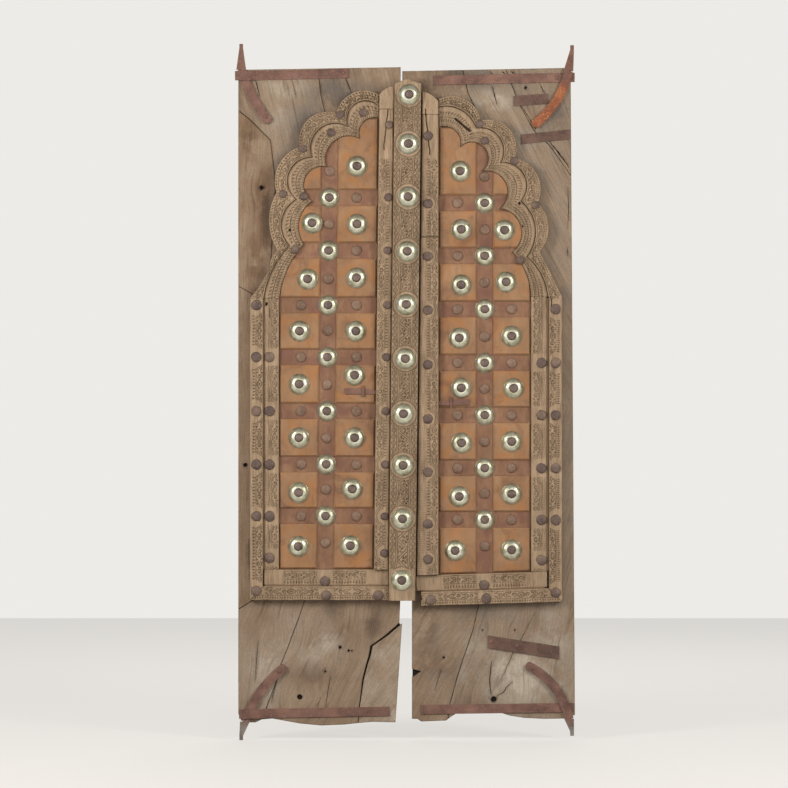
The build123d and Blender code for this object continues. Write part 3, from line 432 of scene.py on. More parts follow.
# Motifs of the carving. Lengths are in millimetres: s runs along a moulding and d across it from its
# outer side. Each gives 0 where the wood is left standing and 1 where it is cut away.

def fillet(x, at, half):
    """Rounded groove: one minus the square of the distance from its middle over its half width."""
    return np.clip(1 - ((x - at) / half) ** 2, 0, 1)


def between(x, low, high, soft=1.0):
    """1 from low to high, with soft sides."""
    return smooth_step(x, low - soft, low) * (1 - smooth_step(x, high, high + soft))


def folded(s, period):
    """Distance from the nearest middle of a repeat."""
    return s - np.round(s / period) * period


def drops(s, d, low, high, period, slant=0.0, fill=0.62):
    """Row of drop shaped cuts: triangles with their wide end at the low side, that lean by the slant."""
    share = np.clip((high - d) / (high - low), 0, 1)
    lean = folded(s + slant * (d - (low + high) / 2), period)
    half = fill * (0.3 + 0.7 * share) * period / 2
    return smooth_step(half - np.abs(lean), -0.5, 0.7) * between(d, low, high, 0.6)


def vine(x, y, radius, period):
    """Cuts of a running vine, x and y being measured from the nearest coil: a spiral groove, whose angle gains
    a turn for each pitch of radius, small leaves round the coil, and a pit halfway to the next one."""
    near, angle = np.hypot(x, y), np.arctan2(y, x)
    coil = np.clip(1.8 * np.cos(angle + 2 * pi * near / (radius * 0.86)) + 0.1, 0, 1) * (near < radius)
    leaves = fillet(near, radius + 4.2, 2.8) * np.clip(2.0 * np.cos(5 * angle) + 0.4, 0, 1)
    apart = np.hypot(period / 2 - np.abs(x), y)
    pit = np.maximum(fillet(apart, 0, 3.4), fillet(apart, 6.8, 2.0) * (np.abs(y) > 2))
    return np.maximum.reduce([coil, leaves, pit])


def circles(s, d, at, period, radius, half=1.7):
    """Row of ring grooves, each round a pit, with a small diamond cut in between."""
    near = np.hypot(folded(s, period), d - at)
    apart = np.abs(folded(s + period / 2, period)) + np.abs(d - at)
    return np.maximum.reduce([fillet(near, radius, half), fillet(near, 0, half * 1.5), fillet(apart, 0, 4.0)])


def flowers(s, d, at, period, radius, petals, turn=0.0):
    """Row of flowers: petals cut where the cosine of the angle times half their number is large, round a
    small standing heart."""
    x, y = folded(s, period), d - at
    near, angle = np.hypot(x, y), np.arctan2(y, x) + turn
    petal = np.clip(4 * (np.abs(np.cos(petals * angle / 2)) - 0.5), 0, 1)
    return petal * smooth_step(radius - near, -0.5, 1.0) * smooth_step(near, radius * 0.2, radius * 0.34)


def off_zigzag(s, d, low, high, period):
    """Distance from a band that runs from side to side: that from a triangle wave, times the cosine of its
    lean."""
    swing = high - low
    middle = low + swing * np.abs(folded(s, period)) * 2 / period
    return np.abs(d - middle) * period / np.hypot(period, 2 * swing)


def rounded(d, width, radius):
    """Depth of rounded shoulders: a quarter circle at both sides of the moulding."""
    x = np.clip(np.minimum(d, width - d), 0, radius)
    return radius - np.sqrt(np.clip(radius ** 2 - (radius - x) ** 2, 0, None))


# Cracks, holes and a burnt slot in the carved pieces, in millimetres: two ends, half width, depth
GASHES = ((152, 1864, 194, 1829, 3.3, 7), (-416, 1311, -417, 1308, 3.5, 9), (-347, 1532, -345, 1530, 3.0, 7),
          (341, 1613, 343, 1611, 3.0, 7), (353, 1544, 354, 1542, 2.2, 6), (-408, 1294, -405, 1268, 1.0, 4),
          (437, 1333, 440, 1286, 1.0, 4), (45, 1511, 98, 1510, 1.0, 4), (-52, 1892, -64, 1772, 1.0, 4),
          (60, 1892, 74, 1757, 1.2, 4), (40, 440, 44, 426, 5.0, 9))


# Mouldings: a profile carried along two edges

ACROSS_STEP = 1.3 * MM    # how far apart the points across a carved moulding are
FULL_CUT = 3.0            # a cut this deep, in millimetres, gets all the painted darkening, dirt and shade, that it can

# Vine of the upright strips, in millimetres: first coil's distance from a stud, pitch and radius of the coils
VINE_START, VINE_PITCH, VINE_RADIUS = 57, 46, 7.8
FAR = 999.0    # distance from a head where there is none


def edges_along(loops, axis, step):
    """Two edges of a strip, low and high, read at even steps along one axis of its outline."""
    corners = np.concatenate(loops)
    at = np.arange(corners[:, axis].min() + 1e-5, corners[:, axis].max(), step)
    at = np.append(at, corners[:, axis].max() - 1e-5)
    first, second = corners, np.concatenate([np.roll(loop, -1, axis=0) for loop in loops])
    run = second[:, axis] - first[:, axis]
    run[np.abs(run) < 1e-9] = 1e-9
    share = (at[None, :] - first[:, axis, None]) / run[:, None]
    other = first[:, 1 - axis, None] + share * (second - first)[:, 1 - axis, None]
    met = (share >= 0) & (share <= 1)
    sides = [np.where(met, other, np.inf).min(0), np.where(met, other, -np.inf).max(0)]
    return [np.stack([side, at] if axis else [at, side], -1) for side in sides]


def seats(at, heads, foot):
    """1 away from the heads and 0 under them, so that the wood stays whole where a head lies on it."""
    clear = np.ones(at.shape[:-1])
    for middle, radius, level, _ in heads:
        if abs(level - foot) < 1.5 * MM:
            near = np.linalg.norm(at - middle, axis=-1)
            clear *= smooth_step(near, radius - 0.5 * MM, radius + 2.5 * MM)
    return clear


def blurred(values, reach):
    """Mean over the neighbours up to some steps away both ways."""
    for axis in (0, 1):
        padded = np.pad(values, [(reach, reach) if k == axis else (0, 0) for k in (0, 1)], mode="edge")
        places = np.arange(values.shape[axis])
        values = np.mean([np.take(padded, places + k, axis) for k in range(2 * reach + 1)], axis=0)
    return values


def gashes_at(at):
    """How much of each place the gashes take, from 0 to 1, and how deep they cut it. Each is a line with
    wavering sides; it takes all within its half width and fades out over the next millimetre."""
    taken, deepest = np.zeros(at.shape[:-1]), np.zeros(at.shape[:-1])
    place = at.reshape(-1, 2)
    for x0, z0, x1, z1, half, deep in GASHES:
        uneven = place + 1.3 * wander(place[:, ::-1], 19.0, x0)
        far = off_line(uneven, np.array([[x0, z0], [x1, z1]], float)).reshape(taken.shape)
        hit = 1 - smooth_step(far, half - 0.4, half + 0.9)
        taken, deepest = np.maximum(taken, hit), np.maximum(deepest, deep * hit)
    return taken, deepest


def carried(node, patches, relief, heads, back=(BACK_PLANE, BACK_PLANE)):
    """Carved moulding. Each patch is a pair of edges with as many places as each other; the profile goes
    from the back up one edge, across the front at its carved depth, and down the other edge. Its darkening,
    dirt with painted shade, is most in the cuts, less beside them, and a little along both edges and on its
    side walls."""
    foot = front_of(node)
    widest = max(np.linalg.norm(first - second, axis=1).max() for first, second in patches)
    share = np.linspace(0, 1, int(widest / ACROSS_STEP) + 2)[None, :, None]
    rings, dirt = [], []
    for number, (first, second) in enumerate(patches):
        at = first[:, None, :] * (1 - share) + second[:, None, :] * share
        along = run_of((first + second) / 2)
        width = np.linalg.norm(first - second, axis=1)[:, None]
        s, d, w = along[:, None] / MM + 0 * width, share[..., 0] * width / MM, width / MM
        section, carve = relief(s, d, w, at / MM, along[-1] / MM, number)
        carve = carve * seats(at, heads, foot)
        worn = 0.86 + 0.26 * wander(s + 2 * d, 61.0, 1.3 * number) * wander(d - s / 3, 23.0, 0.4)
        carve = carve * np.clip(worn, 0.45, 1.05)
        cut = np.clip(carve / FULL_CUT, 0, 1)
        gash, deepest = gashes_at(at / MM)
        front = at_level(at, foot + (section + np.maximum(carve, deepest)) * MM)
        backs = [at_level(edge, level)[:, None] for edge, level in zip((first, second), back)]
        ring = np.concatenate([backs[0], front, backs[1]], axis=1)
        patchy = 0.85 + 0.45 * wander(s + d, 83.0, number) * wander(s - 2 * d, 31.0, 1.0)
        # Painted shade with the dirt: darkest in the cuts, spread beside them, and a little along both edges
        # and on the side walls
        grime_and_shade = (0.66 * cut + 0.30 * blurred(cut, 4)) * patchy
        grime_and_shade = np.clip(grime_and_shade, 0, 0.85) + 0.22 * (1 - smooth_step(np.minimum(d, w - d), 0, 2.5))
        grime_and_shade = np.maximum(grime_and_shade, 0.97 * gash)
        grime_and_shade = np.pad(grime_and_shade, ((0, 0), (1, 1)), constant_values=0.25)
        skip = 1 if number else 0
        rings.append(ring[skip:])
        dirt.append(grime_and_shade[skip:])
    rings, dirt = np.concatenate(rings), np.concatenate(dirt)
    put_mesh(f"{node}_carved", rings.reshape(-1, 3), tube_faces(*rings.shape[:2]), WOODS["carved"], node,
             {"dirt": dirt})


def front_of(node):
    """Level of a node's foremost flat area."""
    return min(y for _, y in flat_loops(node))


def shaky(s, d, seed):
    """Coordinates that waver as a hand-held chisel does."""
    return (s + 1.2 * wander(s + 3 * d, 70.0, seed) + 0.6 * wander(s - 2 * d, 21.0, seed + 5),
            d + 0.7 * wander(s, 47.0, seed + 2) + 0.5 * wander(s + d, 17.0, seed + 3))


def from_heads(at, heads):
    """Distance from the middle of the nearest head."""
    return np.min([np.linalg.norm(at - middle / MM, axis=-1) for middle, *_ in heads], axis=0)


def from_studs(at, heads, axis):
    """Distance along one axis from the nearest head on a straight moulding, or FAR where it has none."""
    low, high = at[..., 1 - axis].min(), at[..., 1 - axis].max()
    rise = np.full(at.shape[:-1], FAR)
    for middle, *_ in heads:
        if low < middle[1 - axis] / MM < high:
            rise = np.minimum(rise, np.abs(at[..., axis] - middle[axis] / MM))
    return rise


def coils_past_studs(rise, d, middle, first=VINE_START, pitch=VINE_PITCH, radius=VINE_RADIUS):
    """Vine on a middle line, whose first coil is at a set distance from the stud."""
    return vine(folded(rise - first, pitch), d - middle, radius, pitch)


def laid_out(at, d, heads, axis, seed):
    """Wavering coordinates of a straight moulding: along it, across it, and along it from the nearest stud."""
    s, across = shaky(at[..., axis], d, seed)
    return s, across, from_studs(at, heads, axis) + s - at[..., axis]


# Each relief gives the depth of a moulding's section and that of its carving. Its numbers are millimetres:
# places across the moulding from its outer side, half widths, distances from a stud, and depth of a full cut.

def outer_strip_relief(heads, period):
    """Outer upright strip: a row of drops and a vine, both left off round the studs along a slanting line."""
    def relief(s, d, w, at, length, number):
        s, d, rise = laid_out(at, d, heads, 1, period)
        slope = 37 - 0.67 * (d - 18)
        coils = coils_past_studs(rise, d, 28.5) * between(d, 20, 37.5) * (rise > slope + 2.5)
        cut = np.maximum.reduce([drops(s, d, 8.5, 15.5, period) * (rise > 31), coils,
                                 fillet(rise, slope, 1.3) * between(d, 18, 37),
                                 fillet(d, 18.3, 1.1) * (rise > 37)])
        return rounded(d, w, 2.5), 3.4 * cut
    return relief


def inner_strip_relief(heads, seed):
    """Inner upright strip: a half round with faint rungs, a ridge that swerves past each coil, and a vine."""
    def relief(s, d, w, at, length, number):
        s, d, rise = laid_out(at, d, heads, 1, seed)
        apart = VINE_PITCH / 2 - np.abs(folded(rise - VINE_START, VINE_PITCH))
        line = 20 + 5 * np.exp(-(apart / 8) ** 2)
        coils = coils_past_studs(rise, d, 32) * (d > line + 3.5) * (d < 41.5)
        cut = np.maximum.reduce([0.45 * np.clip(np.cos(2 * pi * s / 6.8), 0, 1) * between(d, 3.5, 12),
                                 fillet(d, 14.6, 1.2), fillet(np.abs(d - line), 2.4, 1.2), coils])
        half_round = np.clip(1.6 * ((d - 7.5) / 6) ** 2, 0, 1.6) * (d < 14)
        return rounded(d, w, 3.0) + half_round, 3.0 * cut * smooth_step(rise, 26, 29)
    return relief


def meeting_relief(heads, low, high, column, period, top_plain):
    """Meeting strip: a vine, two grooves that pass round every stud, a row of drops, and a half round."""
    def relief(s, d, w, at, length, number):
        z = at[..., 1]
        s, d, rise = laid_out(at, d, heads, 1, column)
        near = from_heads(at, heads)
        coils = coils_past_studs(rise, d, column) * (near > 32) * between(d, 2.5, low - 4)
        rungs = 0.35 * np.clip(np.cos(2 * pi * s / 6.7), 0, 1) * (d > high + 2)
        round_stud = np.maximum(fillet(near, 23.5, 1.2), fillet(near, 29, 1.3)) * (d < low)
        line = fillet(d, low - 2.4, 1.2) * (near > 29)
        cut = np.maximum.reduce([coils, round_stud, drops(s, d, low, high, period) * (rise > 25), line, rungs])
        cut = cut * (1 - smooth_step(z, top_plain, top_plain + 6)) * between(d, 2, w - 2)
        half_round = 2.4 * np.clip((d - (high + w) / 2) * 2 / (w - high), -1, 1) ** 2 * (d > high)
        return rounded(d, w, 4.0) + half_round, 3.0 * cut
    return relief


def outer_rail_relief(heads):
    """Outer rail: fine drops below, a vine that stops short of the studs, and a plain rounded top."""
    def relief(s, d, w, at, length, number):
        s, d, rise = laid_out(at, d, heads, 0, 3.1)
        coils = coils_past_studs(rise, d, 25.5, 42, 40, 7.5) * between(d, 16.5, 35) * (rise > 24)
        cut = np.maximum.reduce([drops(s, d, 5, 11.5, 7.5), fillet(d, 14.2, 1.2), coils, fillet(d, 36.8, 1.2)])
        return rounded(d, w, 4.0), 3.0 * cut
    return relief


def inner_rail_relief(heads):
    """Inner rail: on both sides of the stud a block with a row of tall drops and a vine, and plain ends."""
    def relief(s, d, w, at, length, number):
        s, d, rise = laid_out(at, d, heads, 0, 8.4)
        cut = np.maximum.reduce([drops(s, d, 5, 15, 8.6), fillet(d, 17.5, 1.2), fillet(d, 41.5, 1.3),
                                 coils_past_studs(rise, d, 29.5, 42, 33, 7.5) * between(d, 19.5, 39)])
        return rounded(d, w, 3.0), 3.0 * cut * between(rise, 24, 123, 2)
    return relief


def outer_arch_relief(period):
    """Outer arch: a row of leaning drops along the rim, a groove, a vine, and a lip over the inner arch. Its
    first lobe, by the crown, is cut deepest."""
    def relief(s, d, w, at, length, number):
        s, d = shaky(s - length / 2, d, number * 1.9)
        deep = 4.0 if number == 0 else 3.0
        coils = vine(folded(s, 38), d - w * 0.58, 8.0, 38) * between(d, 15.5, w - 7)
        cut = np.maximum.reduce([drops(s, d, 4.5, 10.5, period, 0.4), fillet(d, 13.4, 1.2), coils,
                                 fillet(d, w - 5, 1.4)])
        return rounded(d, w, 4.0), deep * cut
    return relief


def inner_arch_relief(period):
    """Inner arch: a smooth crest, a row of leaning drops, a groove, small pits, and notches at the rim."""
    def relief(s, d, w, at, length, number):
        s, d = shaky(s - length / 2, d, number * 2.7 + 4)
        cut = np.maximum.reduce([drops(s, d, w * 0.27, w * 0.45, period * 1.15, 0.45, 0.5),
                                 drops(s, w - d, w * 0.28, w * 0.40, period, -0.3, 0.6),
                                 drops(s, w - d, 1.0, w * 0.17, period * 0.8, 0.0, 0.5),
                                 fillet(d, w * 0.53, 1.7), fillet(d, w * 0.77, 1.1)])
        hollow = smooth_step(d, w * 0.14, w * 0.30) * between(d, 0, w, 0.1)
        return rounded(d, w, 3.0) + hollow, 3.2 * cut
    return relief


# Mullion, in millimetres: usual distance between two bosses, length of a zigzag, three of which go between two
# bosses, height below which the wood is left plain, and height of the crack across it
BOSS_PITCH, ZIGZAG, PLAIN_BELOW, CRACKED_AT = 159.0, 52.0, 512.0, 1708.0


def mullion_relief(bosses):
    """Mullion: two lines that swerve round every boss by a bell curve, ringed circles outside them, and a
    zigzag with flowers in its corners between them. The section falls away to both sides as a fourth power."""
    levels = sorted(middle[1] / MM for middle, *_ in bosses)

    def relief(s, d, w, at, length, number):
        z = at[..., 1]
        section = 9.0 * np.abs(2 * d / w - 1) ** 4
        near, rise = from_heads(at, bosses), np.min([np.abs(z - level) for level in levels], axis=0)
        along = (z - levels[0]) / BOSS_PITCH
        for low, high in zip(levels[:-1], levels[1:]):
            along = np.where((z > low) & (z <= high), (z - low) / (high - low), along)
        wavy, d = shaky(z, d, 6.2)
        off = np.abs(d - 40.5)
        line = 18.5 + 17.0 * np.exp(-(rise / 27.0) ** 2)
        run = along * 3 * ZIGZAG
        zig = fillet(off_zigzag(run, d, 24.5, 56.5, ZIGZAG), 2.9, 1.4)
        blooms = np.maximum(flowers(run + ZIGZAG / 2, d, 32.5, ZIGZAG, 10.5, 5) * (d < 46),
                            flowers(run, d, 48.5, ZIGZAG, 10.5, 5, 0.8) * (d > 35))
        inside = smooth_step(line - off, 4.0, 5.0)
        rings = np.maximum(circles(wavy, d, 9.5, 19.0, 5.8, 1.6), circles(wavy, d, 71.5, 19.0, 5.8, 1.6))
        rings = rings * smooth_step(off - line, 4.0, 5.0)
        cut = np.maximum.reduce([np.maximum(zig, blooms) * inside, fillet(np.abs(off - line), 2.9, 1.4), rings])
        cut = np.maximum(cut * smooth_step(near, 41.5, 42.5), fillet(near, 39.8, 1.8))
        carved = smooth_step(z, PLAIN_BELOW, PLAIN_BELOW + 6) * (1 - smooth_step(z, levels[-1], levels[-1] + 3))
        carved = carved * between(d, 2.5, w - 2.5)
        crack = fillet(z, CRACKED_AT, 1.2) * between(d, 4, w - 16, 3)
        return section * (1 - 0.75 * fillet(near, 34.0, 6.0)) + 4.0 * crack, 3.4 * carved * cut
    return relief


def finial_relief(s, d, w, at, length, number):
    """Leaf: veins that lean away from its stem, cut finer towards the tip."""
    veins = np.clip(np.cos(2 * pi * (s + 0.8 * d) / 11.0), 0, 1)
    return rounded(d, w, 3.0), 0.5 * veins * between(d, 5, w - 3) * between(s, 8, length - 5)


def lobes(node, turn):
    """Corners of a band's outline where it turns sharply, as the places in its list."""
    points = flat_loops(node)[0][0]
    keep = np.linalg.norm(points - np.roll(points, 1, axis=0), axis=1) > 0.05 * MM
    points = points[keep]
    step = np.roll(points, -1, axis=0) - points
    heading = np.degrees(np.arctan2(step[:, 1], step[:, 0]))
    bend = (heading - np.roll(heading, 1) + 180) % 360 - 180
    return points, np.where(np.abs(bend) > turn)[0]


def between_corners(points, start, stop, way):
    """Stretch of a closed outline from one corner to another, going forwards or backwards."""
    count = len(points)
    if way > 0:
        index = np.arange(start, start + (stop - start) % count + 1) % count
    else:
        index = np.arange(start, start - (start - stop) % count - 1, -1) % count
    return points[index]


def nearest(points, target):
    """Place in the list of the corner closest to a target."""
    return int(np.argmin(np.linalg.norm(points - target, axis=1)))


def split(line, cusps):
    """A line cut at the corners closest to the cusps, kept in order."""
    at = sorted(nearest(line, cusp) for cusp in cusps)
    return [line[a:b + 1] for a, b in zip([0] + at, at + [len(line) - 1])]


def arch_edges(node):
    """Outer and inner edge of an arch, both from the crown down to the foot, with its sharp corners."""
    points, sharp = lobes(node, 40)
    corners = points[sharp]
    by_line = sharp[np.argsort(np.abs(corners[:, 0]))[:2]]
    by_foot = sharp[np.argsort(corners[:, 1])[:2]]
    crown_low, crown_high = by_line[np.argsort(points[by_line][:, 1])]
    foot_in, foot_out = by_foot[np.argsort(np.abs(points[by_foot][:, 0]))]
    edges = []
    for start, stop, other in ((crown_high, foot_out, crown_low), (crown_low, foot_in, crown_high)):
        ways = [between_corners(points, start, stop, way) for way in (1, -1)]
        edges.append(next(way for way in ways if not (way == points[other]).all(1).any()))
    ends = set(by_line) | set(by_foot)
    cusps = points[[k for k in sharp if k not in ends]]
    return edges, cusps


def arch_patches(side, which):
    """Lobes of an arch as pairs of edges. The inner arch has rounded cusps on its outer edge, so those are
    taken from the edge of the outer arch that it follows."""
    (outer, inner), cusps = arch_edges(f"{side}_{which}_arch")
    low = [cusp for cusp in cusps if (inner == cusp).all(1).any()]
    high = [cusp for cusp in cusps if (outer == cusp).all(1).any()]
    if which == "inner":
        (_, along), others = arch_edges(f"{side}_outer_arch")
        high = [cusp for cusp in others if (along == cusp).all(1).any()]
    patches = []
    for first, second in zip(split(outer, high), split(inner, low)):
        count = int((run_of(first)[-1] + run_of(second)[-1]) / 2 / STEP) + 2
        patches.append((resampled(first, count), resampled(second, count)))
    return patches


# Heads of bosses, studs and nails

def turned(name, node, section, around, material, jitter=0.0, dirt=None):
    """All heads of a node in one piece. The section is (share of the radius, share of the height) from the
    foot to the crown, carried round each head; jitter makes the rim uneven, as forging does."""
    out, up = np.array(section[:-1]).T[:, :, None]
    rows, ring = len(section) - 1, np.arange(around)
    after = (ring + 1) % around
    low = np.arange(rows - 1)[:, None] * around
    quads = np.stack([low + ring, low + after, low + around + after, low + around + ring], -1).reshape(-1, 4)
    top_row, crown = (rows - 1) * around, rows * around
    fan = np.stack([top_row + ring, top_row + after, np.full(around, crown)], -1)
    verts, faces = [], []
    for number, (middle, radius, foot, top) in enumerate(heads_of(node)):
        turn = 2 * pi * ring / around + RNG.uniform(0, 2 * pi)
        uneven = 1 + jitter * RNG.uniform(-1, 1, around)
        tilt = jitter * 0.6 * RNG.uniform(-1, 1, 2)
        x, z = out * radius * uneven * np.cos(turn), out * radius * uneven * np.sin(turn)
        lift = np.clip(up * (1 + (x * tilt[0] + z * tilt[1]) / radius), 0, 1)
        rim = np.stack([middle[0] + x, foot + (top - foot) * lift, middle[1] + z], -1).reshape(-1, 3)
        verts += [rim, [[middle[0], foot + (top - foot) * section[-1][1], middle[1]]]]
        for part in (quads, [ring[::-1]], fan):
            faces += (np.asarray(part) + number * (crown + 1)).tolist()
    verts = np.concatenate(verts)
    attributes = None
    if dirt:
        grime_and_shade = np.append(np.repeat(dirt[:-1], around), dirt[-1])
        attributes = {"dirt": np.tile(grime_and_shade, len(verts) // len(grime_and_shade))}
    put_mesh(name, verts, faces, material, node, attributes)


BOSS_SECTION = ((1.04, 0.0), (1.05, 0.10), (1.02, 0.17), (0.97, 0.22), (0.93, 0.32), (0.87, 0.48), (0.79, 0.66),
                (0.71, 0.80), (0.63, 0.91), (0.55, 0.97), (0.47, 1.0), (0.42, 0.95), (0.38, 0.86), (0.0, 0.84))
BOSS_DIRT = (0.8, 0.55, 0.35, 0.6, 0.25, 0.05, 0.0, 0.0, 0.0, 0.0, 0.05, 0.4, 0.9, 0.9)
NAIL_SECTION = ((1.0, 0.0), (1.0, 0.35), (0.92, 0.62), (0.66, 0.90), (0.34, 1.0), (0.0, 1.0))
STUD_SECTION = ((1.05, 0.0), (1.05, 0.26), (1.0, 0.48), (0.86, 0.72), (0.60, 0.90), (0.28, 1.0), (0.0, 1.0))
for side in ("left", "right", "mullion"):
    turned(f"{side}_brass_domes", f"{side}_bosses", BOSS_SECTION, 28, BRASS, 0.006, BOSS_DIRT)
    turned(f"{side}_dome_nails", f"{side}_boss_nails", NAIL_SECTION, 8, IRONS["nail"], 0.08)
for side in ("left", "right"):
    for kind, iron in (("batten", "flat_stud"), ("frame", "stud")):
        turned(f"{side}_{kind}_heads", f"{side}_{kind}_studs", STUD_SECTION, 12, IRONS[iron], 0.07)


# Carved pieces

DUST_TOP, DUST_FOOT = 1.4 * MM, 7 * MM


def strip_edges(node, axis, order=1, step=STEP):
    """Both edges of a straight moulding along one axis, low first or turned round, from its back's outline."""
    return edges_along([flat_loops(node, True)[0][0]], axis, step)[::order]


def joint_dust(side, kind, axis, order):
    """Packed dust between a leaf's outer and inner strips or rails, over the run that they share: 1 mm into
    both, and from DUST_TOP to DUST_FOOT behind the front of the inner one."""
    edges = (strip_edges(f"{side}_outer_{kind}", axis, order, DUST_STEP)[1],
             strip_edges(f"{side}_inner_{kind}", axis, order, DUST_STEP)[0])
    run = np.arange(max(edge[0, axis] for edge in edges), min(edge[-1, axis] for edge in edges), DUST_STEP)
    low, high = np.sort([np.interp(run, edge[:, axis], edge[:, 1 - axis]) for edge in edges], axis=0)
    first, second = (np.stack([line, run][::1 if axis else -1], -1) for line in (low - MM, high + MM))
    front = front_of(f"{side}_inner_{kind}")
    rings = box_rings(first, second, front + DUST_TOP, front + DUST_FOOT)
    put_mesh(f"{side}_{kind}_joint_dust", rings.reshape(-1, 3), tube_faces(len(run), 4), DUST, f"{side}_")


# Pitch of the drops on the outer strips and on the arches, and how the meeting strips are laid out: where
# the drops start and end across them, the middle of the vine, the drops' pitch, and the height of the plain top
LEAF_CARVING = {"left": (9.5, 9.6, (27.0, 34.0, 12.5, 8.8, 1740.0)),
                "right": (6.7, 7.4, (28.0, 35.0, 12.5, 8.8, 1740.0))}
for side, (drop_pitch, arch_pitch, layout) in LEAF_CARVING.items():
    studs = heads_of(f"{side}_frame_studs")
    from_rim = 1 if side == "left" else -1
    reliefs = {"outer_stile_strip": outer_strip_relief(studs, drop_pitch),
               "inner_stile_strip": inner_strip_relief(studs, 14.6),
               "meeting_strip": meeting_relief(studs, *layout),
               "outer_rail": outer_rail_relief(studs), "outer_arch": outer_arch_relief(arch_pitch),
               "inner_rail": inner_rail_relief(studs), "inner_arch": inner_arch_relief(arch_pitch),
               "finial": finial_relief}
    for kind, relief in reliefs.items():
        node, (which, _, form) = f"{side}_{kind}", kind.partition("_")
        if form == "arch":
            patches = arch_patches(side, which)
        else:
            patches = [strip_edges(node, 0) if form == "rail" else strip_edges(node, 1, from_rim)]
        carried(node, patches, relief, () if kind == "finial" else studs)
    joint_dust(side, "stile_strip", 1, from_rim)
    joint_dust(side, "rail", 0, 1)
loops = [points for points, y in flat_loops("mullion", True) if y > 0]
bosses = heads_of("mullion_bosses")
carried("mullion", [edges_along(loops, 1, STEP)], mullion_relief(bosses), bosses,
        (BACK_PLANE, BACK_PLANE - 0.5 * MM))


# Boards

# Each board's lean of the grain above and below its middle, as sideways run for each unit of height, and how
# brown, grey and pale it is all over
BOARDS = {"left_inner_board": ((-0.22, 0.36), (0.30, 0.10, 0.05)),
          "left_outer_board": ((-0.22, 0.20), (0.25, 0.12, 0.10)),
          "left_upper_stile_board": ((0.03, 0.0), (0.55, 0.0, 0.10)),
          "left_lower_stile_board": ((0.0, 0.0), (0.5, 0.0, 0.1)),
          "left_broken_corner": ((0.0, 0.78), (0.15, 0.05, 0.35)),
          "right_inner_board": ((-0.30, 0.62), (0.35, 0.15, 0.0)),
          "right_outer_board": ((-0.52, 0.26), (0.15, 0.30, 0.12)),
          "right_corner_board": ((-0.30, 0.0), (0.20, 0.30, 0.10))}
GRAIN_TURNS_AT = 1.0

# Knots that the grain bends round, in millimetres: x, z, reach of the bend, radius of the hole (0 for none)
KNOTS = ((-432, 1660, 45, 6), (-316, 129, 90, 9), (-196, 278, 60, 5), (-170, 268, 40, 4), (-160, 268, 30, 2.5),
         (-240, 206, 30, 3), (-480, 826, 24, 7), (362, 1960, 55, 4), (266, 122, 110, 9), (116, 248, 40, 3.5),
         (-262, 232, 120, 0), (-250, 352, 90, 0), (-390, 300, 70, 0), (330, 330, 60, 2.5), (232, 330, 30, 2.5))

# Cracks in millimetres: half width and depth, then the points of its line
CRACKS = ((1.5, 9, (-450, 1982), (-436, 1934)), (1.7, 10, (-178, 1988), (-162, 1946)),
          (1.0, 5, (-340, 1982), (-328, 1934)),
          (1.3, 5, (-226, 188), (-233, 140), (-240, 98)), (1.1, 5, (-256, 122), (-264, 98)),
          (1.0, 4, (-442, 296), (-447, 240), (-450, 182)), (1.2, 6, (-386, 176), (-402, 116)),
          (1.3, 8, (174, 2010), (182, 2000)), (1.3, 8, (254, 2010), (264, 2000)),
          (1.3, 8, (290, 2010), (302, 2000)), (1.3, 8, (318, 2010), (332, 2000)),
          (1.6, 9, (263, 1962), (276, 1908)), (1.3, 7, (350, 1906), (390, 1840)),
          (2.4, 12, (434, 1798), (462, 1764), (492, 1722)), (1.2, 6, (420, 1802), (455, 1754), (492, 1708)),
          (1.3, 6, (404, 1972), (420, 1942)),
          (0.9, 4, (390, 382), (348, 302), (324, 260), (300, 206), (278, 162)),
          (1.8, 9, (260, 236), (254, 182), (258, 138)),
          (1.6, 8, (278, 134), (296, 142), (304, 158), (320, 172)),
          (1.6, 4, (489, 1660), (491, 1600), (489, 1536)), (1.6, 4, (488, 1478), (489, 1456)),
          (0.8, 3, (90, 150), (108, 210)), (0.8, 3, (-468, 470), (-470, 600)))

